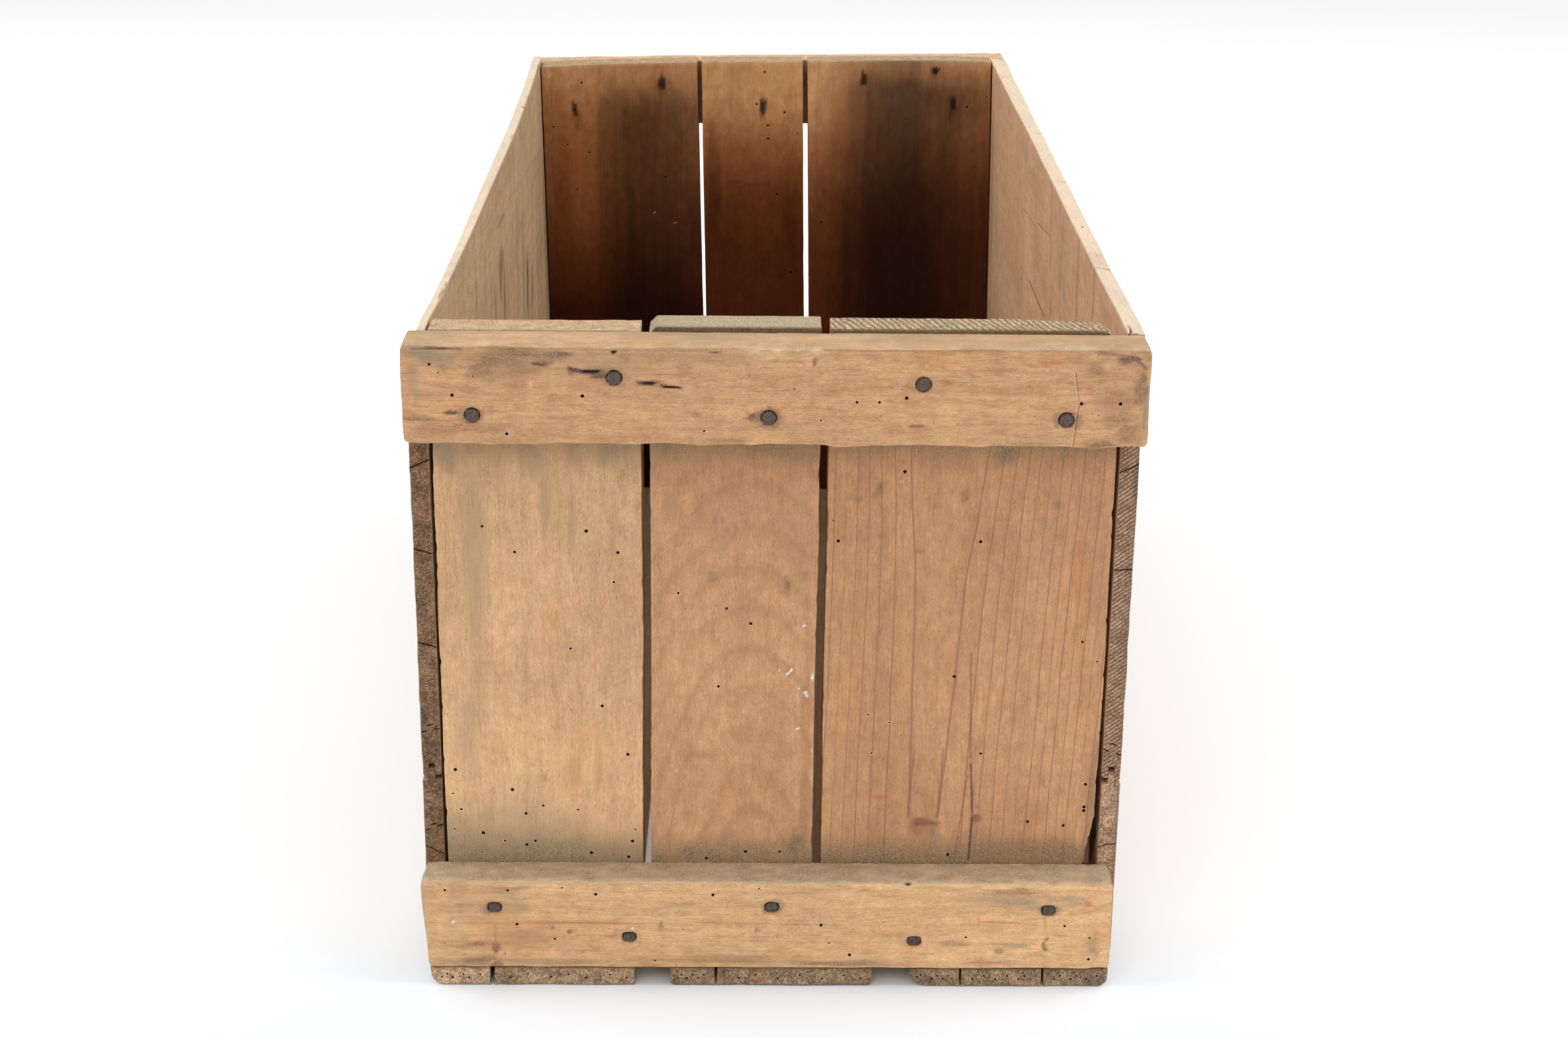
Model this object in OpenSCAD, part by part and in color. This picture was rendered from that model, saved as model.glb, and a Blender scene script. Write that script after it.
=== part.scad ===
// Wooden apple crate. Each end is three upright boards held by two battens nailed
// across their outside. Each side wall is a wide board over a narrow one, joined by
// a tongue and groove. Three boards make the bottom. Nails hold it all together.
// X runs across the crate, Y along it from the front end to the rear end, Z up.
// The origin is on the ground, under the middle of the crate.

/* [Crate] */
// Width across the outside of the two side walls
crate_w = 318; // [280:1:400]
// Length of the side walls
wall_len = 660; // [450:5:850]
// Height from the ground to the top of the tallest end board
crate_h = 310; // [240:1:380]

/* [Boards] */
// Thickness of the side wall boards
side_t = 9; // [8:0.5:12]
// Thickness of the end boards
end_t = 19; // [15:0.5:25]
// Thickness of the bottom boards
bottom_t = 9.5; // [8:0.5:14]
// Height of the narrow lower board of a side wall, without its tongue
lower_board_h = 86; // [75:1:105]
// Shrinkage gap between the end boards and the side walls
wall_gap = 1; // [0.2:0.1:2]
// Shrinkage gap between neighbouring end boards
seam_w = 3; // [1:0.5:5]
// Gap between neighbouring bottom boards
bottom_gap = 16.5; // [6:0.5:25]
// How far the bottom boards stop short of the outside of the side walls
bottom_inset = 1.5; // [0:0.5:4]

/* [Seams between the end boards] */
// Front end, left seam: distance from the middle, as a share of the panel width
front_seam_left = 0.188; // [0.12:0.002:0.25]
// Front end, right seam: distance from the middle, as a share of the panel width
front_seam_right = 0.072; // [0.05:0.002:0.16]
// Rear end, left seam: distance from the middle, as a share of the panel width
rear_seam_left = 0.144; // [0.08:0.002:0.18]
// Rear end, right seam: distance from the middle, as a share of the panel width
rear_seam_right = 0.087; // [0.05:0.002:0.16]

/* [Battens] */
// Height of each batten
batten_h = 45; // [40:1:55]
// Thickness of the upper battens
upper_batten_t = 21; // [15:0.5:25]
// Thickness of the lower battens
lower_batten_t = 19; // [15:0.5:25]
// Radius of the worn corners of the battens
batten_corner_r = 3.5; // [1:0.5:6]
// How far the front upper batten sits below the tallest end board
front_batten_drop = 2.5; // [0:0.5:6]
// How far the rear upper batten sits below the tallest end board
rear_batten_drop = 1; // [0:0.5:6]

/* [Tongue and groove] */
// Thickness of the tongue
tongue_t = 2.8; // [2:0.1:3.2]
// Height of the tongue
tongue_h = 5.5; // [4:0.5:7]
// Play of the tongue in its groove, on each side
tongue_play = 0.2; // [0.1:0.05:0.4]
// Open joint left between the shoulders of the two boards
shoulder_gap = 1.5; // [0.5:0.1:2.5]

/* [Nails] */
// Diameter of a wire nail's head
head_d = 6.2; // [5:0.1:7.5]
// Diameter of a wire nail's shank
shank_d = 2.6; // [2:0.1:3.2]
// Length of a cut nail's head, along the grain
cut_head_l = 6; // [5:0.1:7.5]
// Width of a cut nail's head
cut_head_w = 4.6; // [4:0.1:6]
// Length of the nails that hold the side walls and the bottom
wall_nail_len = 34; // [28:1:38]
// Distance between neighbouring nails along a batten
nail_pitch = 63; // [56:0.5:66]

/* [Hidden] */
$fn = 48;

// The two ends and the two side walls, as signs of Y and X
FRONT = -1;
REAR = 1;
LEFT = -1;
RIGHT = 1;
LEFT_BOARD = 0;
CENTRE_BOARD = 1;
RIGHT_BOARD = 2;

// Small distance that carries a cut past a face
over = 1;

// End panels: the boards lie between the side walls, flush with the wall ends
panel_w = crate_w - 2 * (side_t + wall_gap);
panel_face_y = wall_len / 2;
panel_mid_y = panel_face_y - end_t / 2;
front_seams = [-front_seam_left * panel_w, front_seam_right * panel_w];
rear_seams = [-rear_seam_left * panel_w, rear_seam_right * panel_w];

// How far each end board stops below the tallest one, from left to right
front_drops = [2.5, 0.5, 1];
rear_drops = [2, 1, 0];

// The broken foot of the front right board: its width at the ground and its height
broken_w = 6;
broken_h = 95;

// Battens
front_batten_z = crate_h - front_batten_drop - batten_h;
rear_batten_z = crate_h - rear_batten_drop - batten_h;
lower_batten_z = bottom_t;

// Side walls
left_wall_drop = 2;
right_wall_drop = 1;
upper_board_z = bottom_t + lower_board_h + shoulder_gap;
groove_w = tongue_t + 2 * tongue_play;
groove_h = tongue_h + shoulder_gap / 2;
groove_x = (side_t - groove_w) / 2;

// Bottom boards
bottom_w = (crate_w - 2 * bottom_inset - 2 * bottom_gap) / 3;
bottom_pitch = bottom_w + bottom_gap;
bottom_len = wall_len + 2 * lower_batten_t;
// Radius of the waney lower edge, and of the worn outer edges
wane_r = 8;
worn_r = 5;

// Nails
head_t = 1.2;
cut_head_t = 1.5;
cut_shank_l = 3.2;
cut_shank_w = 2.2;
point_len = 4;
// The heads sit a little below the wood
head_sink = 0.3;
// The points of the batten nails just come through the end boards
point_out = 0.6;
// Nails lie in holes that are this much wider than they are, all round
nail_play = 0.05;
// Heights of the batten nails above the batten's lower edge, and their shift along X
low_nail_h = 13.5;
high_nail_h = 30.5;
upper_nail_shift = -2.5;
lower_nail_shift = 1;
// Heights of the side wall nails above the ground
wall_nails_z = [48, 80, 118, 176, 234, 291];
// Steps from a bottom board's middle to its nails
bottom_nail_step = 30;

// Rectangle with its corner at the origin, and the radius of each of its corners in
// the order bottom left, bottom right, top right, top left
module rounded_rect(w, h, radii) {
    difference() {
        square([w, h]);
        if (radii[0] > 0) spandrel(radii[0]);
        if (radii[1] > 0) translate([w, 0]) mirror([1, 0]) spandrel(radii[1]);
        if (radii[2] > 0) translate([w, h]) rotate(180) spandrel(radii[2]);
        if (radii[3] > 0) translate([0, h]) mirror([0, 1]) spandrel(radii[3]);
    }
}

// What rounding a corner of radius r takes away
module spandrel(r) {
    difference() {
        translate([-over, -over]) square(r + over);
        translate([r, r]) circle(r);
    }
}

// Extrude an XZ outline along Y, from y to y + depth
module extrude_y(y, depth) {
    translate([0, y + depth, 0]) rotate([90, 0, 0]) linear_extrude(depth) children();
}

// Round wire nail: the head's face is at the origin and the point is along +Z.
// With a positive play it is the hole that the nail lies in.
module wire_nail(length, play = 0) {
    is_hole = play > 0;
    translate([0, 0, is_hole ? -over : 0])
        cylinder(h = head_t + (is_hole ? over : 0), d = head_d + 2 * play);
    cylinder(h = length - point_len, d = shank_d + 2 * play);
    translate([0, 0, length - point_len])
        cylinder(h = point_len + play, d1 = shank_d + 2 * play, d2 = 0.4 + 2 * play);
}

// Cut nail with a rectangular head and shank, placed as the wire nail is
module cut_nail(length, play = 0) {
    is_hole = play > 0;
    head_top = is_hole ? -over : 0;
    translate([-cut_head_l / 2 - play, -cut_head_w / 2 - play, head_top])
        cube([cut_head_l + 2 * play, cut_head_w + 2 * play, cut_head_t - head_top]);
    translate([-cut_shank_l / 2 - play, -cut_shank_w / 2 - play, 0])
        cube([cut_shank_l + 2 * play, cut_shank_w + 2 * play, length + play]);
}

// The five nails of an upper batten, low and high by turns
module upper_batten_nails(end, play = 0) {
    length = upper_batten_t + end_t + point_out - head_sink;
    batten_z = end == FRONT ? front_batten_z : rear_batten_z;
    for (i = [0:4]) {
        x = (i - 2) * nail_pitch + upper_nail_shift;
        z = batten_z + (i % 2 == 0 ? low_nail_h : high_nail_h);
        translate([x, end * (panel_face_y + upper_batten_t - head_sink), z])
            rotate([end * 90, 0, 0]) wire_nail(length, play);
    }
}

// The five nails of a lower batten, high and low by turns
module lower_batten_nails(end, play = 0) {
    length = lower_batten_t + end_t + point_out - head_sink;
    for (i = [0:4]) {
        x = (i - 2) * nail_pitch + lower_nail_shift;
        z = lower_batten_z + (i % 2 == 0 ? high_nail_h : low_nail_h);
        translate([x, end * (panel_face_y + lower_batten_t - head_sink), z])
            rotate([end * 90, 0, 0]) cut_nail(length, play);
    }
}

// The nails that hold one side wall to one end panel
module wall_nails(side, end, play = 0) {
    for (z = wall_nails_z)
        translate([side * (crate_w / 2 - head_sink), end * panel_mid_y, z])
            rotate([0, -side * 90, 0]) wire_nail(wall_nail_len, play);
}

// The nails that hold the bottom boards to one end: the middle nail of each board
// goes into the lower batten and the other two into the end boards
module bottom_nails(end, play = 0) {
    for (board = [-1:1], step = [-1:1]) {
        x = board * bottom_pitch + step * bottom_nail_step;
        y = step == 0 ? panel_face_y + lower_batten_t / 2 : panel_mid_y;
        translate([x, end * y, head_sink]) wire_nail(wall_nail_len, play);
    }
}

// One upright board of an end panel, with the holes of the nails that hold it
module end_board(end, place) {
    seams = end == FRONT ? front_seams : rear_seams;
    drops = end == FRONT ? front_drops : rear_drops;
    x0 = place == LEFT_BOARD ? -panel_w / 2 : seams[place - 1] + seam_w / 2;
    x1 = place == RIGHT_BOARD ? panel_w / 2 : seams[place] - seam_w / 2;
    top = crate_h - drops[place];
    y = end == FRONT ? -panel_face_y : panel_face_y - end_t;
    difference() {
        translate([x0, y, bottom_t]) cube([x1 - x0, end_t, top - bottom_t]);
        upper_batten_nails(end, nail_play);
        lower_batten_nails(end, nail_play);
        bottom_nails(end, nail_play);
        if (place == LEFT_BOARD) wall_nails(LEFT, end, nail_play);
        if (place == RIGHT_BOARD) wall_nails(RIGHT, end, nail_play);
    }
}

// The wedge that has broken off the foot of the front right board
module broken_foot() {
    foot_x = panel_w / 2;
    extrude_y(-panel_face_y - over, end_t + 2 * over)
        polygon([
            [foot_x - broken_w, 0],
            [foot_x + over, 0],
            [foot_x + over, broken_h],
            [foot_x, broken_h]
        ]);
}

// One batten of an end, with the holes of the nails that go through it
module batten(end, z, thickness) {
    y = end == FRONT ? -panel_face_y - thickness : panel_face_y;
    corners = [batten_corner_r, batten_corner_r, batten_corner_r, batten_corner_r];
    difference() {
        translate([-crate_w / 2, 0, z])
            extrude_y(y, thickness) rounded_rect(crate_w, batten_h, corners);
        upper_batten_nails(end, nail_play);
        lower_batten_nails(end, nail_play);
        bottom_nails(end, nail_play);
    }
}

// Place a right-hand wall board: its outline has X from the inner face outwards
module place_wall(side) {
    mirror([side == LEFT ? 1 : 0, 0, 0])
        translate([crate_w / 2 - side_t, 0, 0])
            extrude_y(-wall_len / 2, wall_len) children();
}

// Wide upper board of a side wall, with the groove in its lower edge
module wall_upper_board(side, drop) {
    board_h = crate_h - drop - upper_board_z;
    difference() {
        place_wall(side)
            translate([0, upper_board_z]) difference() {
                rounded_rect(side_t, board_h, [0, 0, 1.5, 1]);
                translate([groove_x, -over]) square([groove_w, groove_h + over]);
            }
        wall_nails(side, FRONT, nail_play);
        wall_nails(side, REAR, nail_play);
    }
}

// Narrow lower board of a side wall, with the tongue along its upper edge
module wall_lower_board(side) {
    difference() {
        place_wall(side)
            translate([0, bottom_t]) {
                rounded_rect(side_t, lower_board_h, [0, 0, 1.5, 0]);
                translate([(side_t - tongue_t) / 2, lower_board_h - over])
                    square([tongue_t, tongue_h + over]);
            }
        wall_nails(side, FRONT, nail_play);
        wall_nails(side, REAR, nail_play);
    }
}

// One bottom board; its corners are given in the order that rounded_rect takes
module bottom_board(place, corners) {
    x = (place - 1) * bottom_pitch - bottom_w / 2;
    difference() {
        translate([x, 0, 0])
            extrude_y(-bottom_len / 2, bottom_len)
                rounded_rect(bottom_w, bottom_t, corners);
        bottom_nails(FRONT, nail_play);
        bottom_nails(REAR, nail_play);
    }
}

module front_end_board_left() {
    color("burlywood") end_board(FRONT, LEFT_BOARD);
}

module front_end_board_centre() {
    color("tan") end_board(FRONT, CENTRE_BOARD);
}

module front_end_board_right() {
    color("peru") difference() {
        end_board(FRONT, RIGHT_BOARD);
        broken_foot();
    }
}

module rear_end_board_left() {
    color("sienna") end_board(REAR, LEFT_BOARD);
}

module rear_end_board_centre() {
    color("peru") end_board(REAR, CENTRE_BOARD);
}

module rear_end_board_right() {
    color("sienna") end_board(REAR, RIGHT_BOARD);
}

module front_upper_batten() {
    color("burlywood") batten(FRONT, front_batten_z, upper_batten_t);
}

module front_lower_batten() {
    color("burlywood") batten(FRONT, lower_batten_z, lower_batten_t);
}

module rear_upper_batten() {
    color("burlywood") batten(REAR, rear_batten_z, upper_batten_t);
}

module rear_lower_batten() {
    color("burlywood") batten(REAR, lower_batten_z, lower_batten_t);
}

module left_wall_upper_board() {
    color("tan") wall_upper_board(LEFT, left_wall_drop);
}

module left_wall_lower_board() {
    color("tan") wall_lower_board(LEFT);
}

module right_wall_upper_board() {
    color("burlywood") wall_upper_board(RIGHT, right_wall_drop);
}

module right_wall_lower_board() {
    color("burlywood") wall_lower_board(RIGHT);
}

module bottom_board_left() {
    color("tan") bottom_board(LEFT_BOARD, [worn_r, 0, 0, 0]);
}

module bottom_board_centre() {
    color("tan") bottom_board(CENTRE_BOARD, [0, 0, 0, 0]);
}

module bottom_board_right() {
    color("tan") bottom_board(RIGHT_BOARD, [wane_r, worn_r, 0, 0]);
}

module front_upper_batten_nails() {
    color("dimgray") upper_batten_nails(FRONT);
}

module front_lower_batten_nails() {
    color("dimgray") lower_batten_nails(FRONT);
}

module rear_upper_batten_nails() {
    color("dimgray") upper_batten_nails(REAR);
}

module rear_lower_batten_nails() {
    color("dimgray") lower_batten_nails(REAR);
}

module left_wall_front_nails() {
    color("dimgray") wall_nails(LEFT, FRONT);
}

module left_wall_rear_nails() {
    color("dimgray") wall_nails(LEFT, REAR);
}

module right_wall_front_nails() {
    color("dimgray") wall_nails(RIGHT, FRONT);
}

module right_wall_rear_nails() {
    color("dimgray") wall_nails(RIGHT, REAR);
}

module bottom_front_nails() {
    color("dimgray") bottom_nails(FRONT);
}

module bottom_rear_nails() {
    color("dimgray") bottom_nails(REAR);
}

front_end_board_left();
front_end_board_centre();
front_end_board_right();
rear_end_board_left();
rear_end_board_centre();
rear_end_board_right();
front_upper_batten();
front_lower_batten();
rear_upper_batten();
rear_lower_batten();
left_wall_upper_board();
left_wall_lower_board();
right_wall_upper_board();
right_wall_lower_board();
bottom_board_left();
bottom_board_centre();
bottom_board_right();
front_upper_batten_nails();
front_lower_batten_nails();
rear_upper_batten_nails();
rear_lower_batten_nails();
left_wall_front_nails();
left_wall_rear_nails();
right_wall_front_nails();
right_wall_rear_nails();
bottom_front_nails();
bottom_rear_nails();
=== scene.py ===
"""Looks of a weathered wooden apple crate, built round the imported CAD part."""

import math

import bpy
import numpy as np
from mathutils import Matrix, Vector


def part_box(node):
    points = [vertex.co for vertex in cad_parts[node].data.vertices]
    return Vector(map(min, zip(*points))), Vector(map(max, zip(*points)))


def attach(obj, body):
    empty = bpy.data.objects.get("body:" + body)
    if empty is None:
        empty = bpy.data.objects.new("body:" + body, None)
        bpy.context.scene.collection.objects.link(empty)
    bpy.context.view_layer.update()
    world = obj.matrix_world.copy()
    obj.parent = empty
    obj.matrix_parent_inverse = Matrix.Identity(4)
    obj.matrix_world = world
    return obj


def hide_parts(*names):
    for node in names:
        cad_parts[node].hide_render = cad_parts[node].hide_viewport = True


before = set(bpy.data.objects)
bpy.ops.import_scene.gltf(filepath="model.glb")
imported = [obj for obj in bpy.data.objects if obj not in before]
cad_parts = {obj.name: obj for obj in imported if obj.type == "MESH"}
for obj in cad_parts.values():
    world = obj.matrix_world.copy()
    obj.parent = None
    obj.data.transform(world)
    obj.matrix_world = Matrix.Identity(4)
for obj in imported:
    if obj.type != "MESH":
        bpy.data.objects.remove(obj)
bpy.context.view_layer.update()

MM = 0.001
X, Y, Z = 0, 1, 2
LOW, HIGH = -1, 1


# ---------------------------------------------------------------- numbers that vary


def lattice(ix, iy, iz, seed):
    """A repeatable number from -1 to 1 for each lattice point."""
    h = (ix * 73856093) ^ (iy * 19349663) ^ (iz * 83492791) ^ (seed * 2654435761)
    h &= 0xFFFFFFFF
    for _ in range(2):
        h = ((h ^ (h >> 16)) * 0x45D9F3B) & 0xFFFFFFFF
    return (h ^ (h >> 16)) / 2147483647.5 - 1.0


def noise(p, size, seed, octaves=1):
    """Smooth noise from -1 to 1 at points p, with features of this size in mm."""
    q = p / np.broadcast_to(np.asarray(size, float), (3,)) + seed * 7.31
    total, amplitude, weight = np.zeros(len(p)), 1.0, 0.0
    for octave in range(octaves):
        i = np.floor(q).astype(np.int64)
        f = q - i
        u = f * f * f * (f * (f * 6 - 15) + 10)
        value = np.zeros(len(p))
        for corner in range(8):
            dx, dy, dz = corner & 1, corner >> 1 & 1, corner >> 2
            w = (u[:, 0] if dx else 1 - u[:, 0]) * (u[:, 1] if dy else 1 - u[:, 1])
            w = w * (u[:, 2] if dz else 1 - u[:, 2])
            value += w * lattice(i[:, 0] + dx, i[:, 1] + dy, i[:, 2] + dz, seed + octave)
        total += amplitude * value
        weight += amplitude
        amplitude *= 0.5
        q = q * 2.03 + 5.7
    return total / weight


def noise01(p, size, seed, octaves=1):
    """The same noise from 0 to 1."""
    return 0.5 + 0.5 * noise(p, size, seed, octaves)


def smooth(edge0, edge1, v):
    """0 up to edge0, 1 from edge1 on, and a soft step between; edge0 may be the larger."""
    t = np.clip((v - edge0) / (edge1 - edge0), 0, 1)
    return t * t * (3 - 2 * t)


def blob(p, centre, size, seed=1, ragged=0.35):
    """A soft patch: 1 at its centre, 0 outside. None in centre leaves an axis out."""
    axes = [a for a in range(3) if centre[a] is not None]
    d = np.sqrt(sum(((p[:, a] - centre[a]) / size[a]) ** 2 for a in axes))
    scale = [max(size[a], 1) * 0.6 if a in axes else 1000 for a in range(3)]
    return smooth(1.15, 0.25, d + ragged * noise(p, scale, seed, 3))


# ---------------------------------------------------------------- boards

EDGE_TICKS = np.array([0, 0.3, 0.65, 1.05, 1.55, 2.2, 3.1, 4.2])
CRACK = 0.5
HOLE_SIDES = 8
# Depth (None for the full depth), width and darkness of a wormhole's rings of points; the darkness is
# painted shade inside the hole
HOLE_RINGS = ((0.0, 1.0, 0.12), (0.35, 0.86, 0.9), (None, 0.7, 1.0))
SMALLEST_HOLE = 0.28
SHARP_WOOD, SHARP_IRON = 48, 50


def ticks(lo, hi, cell, extra):
    """Places of the grid lines from lo to hi: close together near both ends."""
    edge = EDGE_TICKS[EDGE_TICKS < (hi - lo) * 0.42]
    n = max(1, round((hi - lo - 2 * edge[-1]) / cell))
    t = np.concatenate([lo + edge, np.linspace(lo + edge[-1], hi - edge[-1], n + 1), hi - edge])
    t = np.unique(np.round(t, 3))
    extra = np.array([e for e in extra if lo + 0.1 < e < hi - 0.1])
    if len(extra):
        gap = np.abs(t[:, None] - extra[None, :]).min(1)
        t = np.unique(np.concatenate([t[(gap > 0.25) | (t == lo) | (t == hi)], extra]))
    return t


FIELDS = ("warm", "grey", "stain_and_shade", "grime_and_shade", "wear", "tone", "hole", "end", "pale", "bleach", "red", "dust")


class Board:
    """The surface of a box as a grid of points, worn and bent inwards, in mm."""

    def __init__(self, lo, hi, grain, cell, extra=((), (), ())):
        self.lo, self.hi, self.grain = np.array(lo, float), np.array(hi, float), grain
        t = [ticks(self.lo[a], self.hi[a], cell[a], extra[a]) for a in range(3)]
        self.t = t
        n = [len(a) for a in t]
        inside = np.zeros(n, bool)
        inside[1:-1, 1:-1, 1:-1] = True
        where = np.argwhere(~inside)
        index = np.full(n, -1)
        index[tuple(where.T)] = np.arange(len(where))
        self.rest = np.stack([t[a][where[:, a]] for a in range(3)], 1)
        self.p = self.rest.copy()
        self.quads, self.side_start = [], {}
        count = 0
        for axis in range(3):
            for side in (LOW, HIGH):
                grid = np.take(index, 0 if side == LOW else n[axis] - 1, axis)
                q = np.stack([grid[:-1, :-1], grid[1:, :-1], grid[1:, 1:], grid[:-1, 1:]], -1)
                shape = q.shape[:2]
                q = q.reshape(-1, 4)
                if (side == HIGH) != (axis != Y):
                    q = q[:, ::-1]
                self.side_start[axis, side] = (count, shape)
                count += len(q)
                self.quads.append(q)
        self.quads = np.concatenate(self.quads)
        self.holes = []
        self.f = {name: np.zeros(len(self.p)) for name in FIELDS}
        self.f["tone"] += 1
        away = np.minimum(self.rest - self.lo, self.hi - self.rest)
        self.edge = np.sort(away, 1)[:, 1]
        self.n = np.zeros_like(self.p)

    def lift(self, field, value):
        """Raises a field to value wherever it is lower."""
        self.f[field] = np.maximum(self.f[field], value)

    def patch(self, field, centre, size, value, seed, ragged):
        """Raises a field to value inside a soft patch."""
        self.lift(field, value * blob(self.rest, centre, size, seed, ragged))

    def bore(self, axis, side, places, wider=1.3, depth=2.2):
        """Wormholes on one side; a place is two coordinates, a radius and how pale the rim is."""
        self.holes += [(axis, side, u, v, r * wider, depth, rim) for u, v, r, rim in places]

    def depth(self, axis, side):
        """How far each point is from that side of the box."""
        return (self.rest[:, axis] - self.lo[axis]) if side == LOW else (self.hi[axis] - self.rest[:, axis])

    def round(self, radius):
        """Rounds the edges; radius is a number or one for each point."""
        limit = (self.hi - self.lo).min() * 0.45
        r = np.clip(np.broadcast_to(radius, len(self.p)), 0.05, limit)[:, None]
        centre = np.clip(self.rest, self.lo + r, self.hi - r)
        d = self.rest - centre
        self.n = d / np.maximum(np.linalg.norm(d, axis=1), 1e-9)[:, None]
        self.p = centre + self.n * r
        self.f["end"] = smooth(0.25, 0.75, self.n[:, self.grain] ** 2)

    def pull(self, axis, side, amount, reach):
        """Moves a side of the box inwards, fading to nothing reach mm further in."""
        w = np.clip(1 - self.depth(axis, side) / reach, 0, 1)
        self.p[:, axis] -= side * amount * w

    def dent(self, depth):
        """Pushes points in along their normals."""
        self.p -= self.n * np.maximum(depth, 0)[:, None]

    def slot(self, axis, side, across, at, depth):
        """A narrow crack that goes in from one side, painted dark inside as painted shade; its grid lines
        are in extra.
        """
        inside = (self.depth(axis, side) < 1e-3) & (abs(self.rest[:, across] - at) < CRACK / 2 + 1e-3)
        self.p[inside, axis] -= side * depth
        self.lift("hole", 0.9 * inside)

    def mesh_parts(self):
        """Points, faces and fields, with the wormholes cut in."""
        p, faces = self.p, [tuple(q) for q in self.quads.tolist()]
        f = self.f
        if not self.holes:
            return p, faces, f
        points, extra = [], {name: [] for name in FIELDS}
        gone = set()
        base = len(p)
        for axis, side, a, b, radius, depth, rim in self.holes:
            u, v = [k for k in range(3) if k != axis]
            start, shape = self.side_start[axis, side]
            i = int(np.searchsorted(self.t[u], a)) - 1
            j = int(np.searchsorted(self.t[v], b)) - 1
            # The roomiest of the grid's cells round the place
            room = {}
            for di, dj in ((0, 0), (0, 1), (0, -1), (1, 0), (-1, 0), (1, 1), (-1, -1), (1, -1), (-1, 1)):
                face = start + (i + di) * shape[1] + j + dj
                if 0 <= i + di < shape[0] and 0 <= j + dj < shape[1] and face not in gone:
                    corner = p[self.quads[face]]
                    size = np.linalg.norm(corner[[1, 2, 3, 0]] - corner, axis=1)
                    room[face] = round(min(radius, 0.44 * size.min()), 2)
            if not room or max(room.values()) < SMALLEST_HOLE:
                continue
            face = max(room, key=room.get)
            r = room[face]
            quad = self.quads[face]
            corner = p[quad]
            gone.add(face)
            normal = np.cross(corner[2] - corner[0], corner[3] - corner[1])
            normal /= np.linalg.norm(normal)
            centre = corner.mean(0)
            e1 = corner[0] - centre
            e1 -= normal * (e1 @ normal)
            e1 /= np.linalg.norm(e1)
            e2 = np.cross(normal, e1)
            first = base + len(points)
            for level, scale, darkness in HOLE_RINGS:
                level = depth if level is None else level
                for k in range(HOLE_SIDES):
                    angle = k * math.pi / 4
                    wobble = 1 + 0.1 * math.sin(3 * k + a) if level else 1
                    spoke = math.cos(angle) * e1 + math.sin(angle) * e2
                    points.append(centre - normal * level + r * scale * wobble * spoke)
                    for name in FIELDS:
                        extra[name].append(f[name][quad].mean())
                    # Painted shade, darker further down the hole
                    extra["hole"][-1] = darkness
                    extra["pale"][-1] = 0 if level else rim
            ring = [first + k for k in range(HOLE_SIDES)]
            for k in range(4):
                c0, c1 = quad[k], quad[(k + 1) % 4]
                r0, r1, r2 = ring[2 * k], ring[2 * k + 1], ring[(2 * k + 2) % 8]
                faces += [(c0, r1, r0), (c0, c1, r1), (c1, r2, r1)]
            for down in (0, HOLE_SIDES):
                for k in range(HOLE_SIDES):
                    upper, after = ring[k] + down, ring[(k + 1) % HOLE_SIDES] + down
                    faces.append((upper, after, after + HOLE_SIDES, upper + HOLE_SIDES))
            faces.append(tuple(k + 2 * HOLE_SIDES for k in ring))
        kept = [q for k, q in enumerate(faces) if k not in gone]
        fields = {name: np.concatenate([f[name], extra[name]]) for name in FIELDS}
        return np.concatenate([p, np.array(points).reshape(-1, 3)]), kept, fields


def add_piece(name, suffix, points, faces, material, sharp, looks=()):
    """One object from points in mm; it stands for the CAD node of its name."""
    mesh = bpy.data.meshes.new(name)
    mesh.from_pydata((points * MM).tolist(), [], faces)
    for group, values in enumerate(looks):
        attribute = mesh.attributes.new(f"look{group}", "FLOAT_VECTOR", "POINT")
        attribute.data.foreach_set("vector", values.astype(np.float32).ravel())
    mesh.update()
    mesh.polygons.foreach_set("use_smooth", np.ones(len(mesh.polygons), bool))
    mesh.set_sharp_from_angle(angle=math.radians(sharp))
    mesh.materials.append(material)
    piece = bpy.data.objects.new(name + suffix, mesh)
    bpy.context.scene.collection.objects.link(piece)
    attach(piece, "root")
    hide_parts(name)


def build(name, boards, material):
    """One wooden piece from one or several boards."""
    points, faces, fields, base = [], [], {k: [] for k in FIELDS}, 0
    for board in boards:
        p, q, f = board.mesh_parts()
        points.append(p)
        faces += [tuple(int(i) + base for i in face) for face in q]
        for k in FIELDS:
            fields[k].append(f[k])
        base += len(p)
    values = [np.clip(np.concatenate(fields[k]), 0, 2) for k in FIELDS]
    looks = [np.stack(values[k : k + 3], 1) for k in range(0, len(FIELDS), 3)]
    add_piece(name, "_wood", np.concatenate(points), faces, material, SHARP_WOOD, looks)


def limits(node):
    """Both corners of a CAD node's box, in mm."""
    lo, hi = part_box(node)
    return np.array(lo) / MM, np.array(hi) / MM


# ---------------------------------------------------------------- shader nodes


class Value:
    """An output socket that takes part in arithmetic."""

    def __init__(self, graph, socket):
        self.graph, self.socket = graph, socket

    def _do(self, op, *rest):
        return self.graph.math(op, self, *rest)

    def __add__(self, o):
        return self._do("ADD", o)

    def __sub__(self, o):
        return self._do("SUBTRACT", o)

    def __rsub__(self, o):
        return self.graph.math("SUBTRACT", o, self)

    def __mul__(self, o):
        return self._do("MULTIPLY", o)

    def __truediv__(self, o):
        return self._do("DIVIDE", o)

    __radd__, __rmul__ = __add__, __mul__

    def least(self, o):
        return self._do("MAXIMUM", o)

    def most(self, o):
        return self._do("MINIMUM", o)


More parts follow.
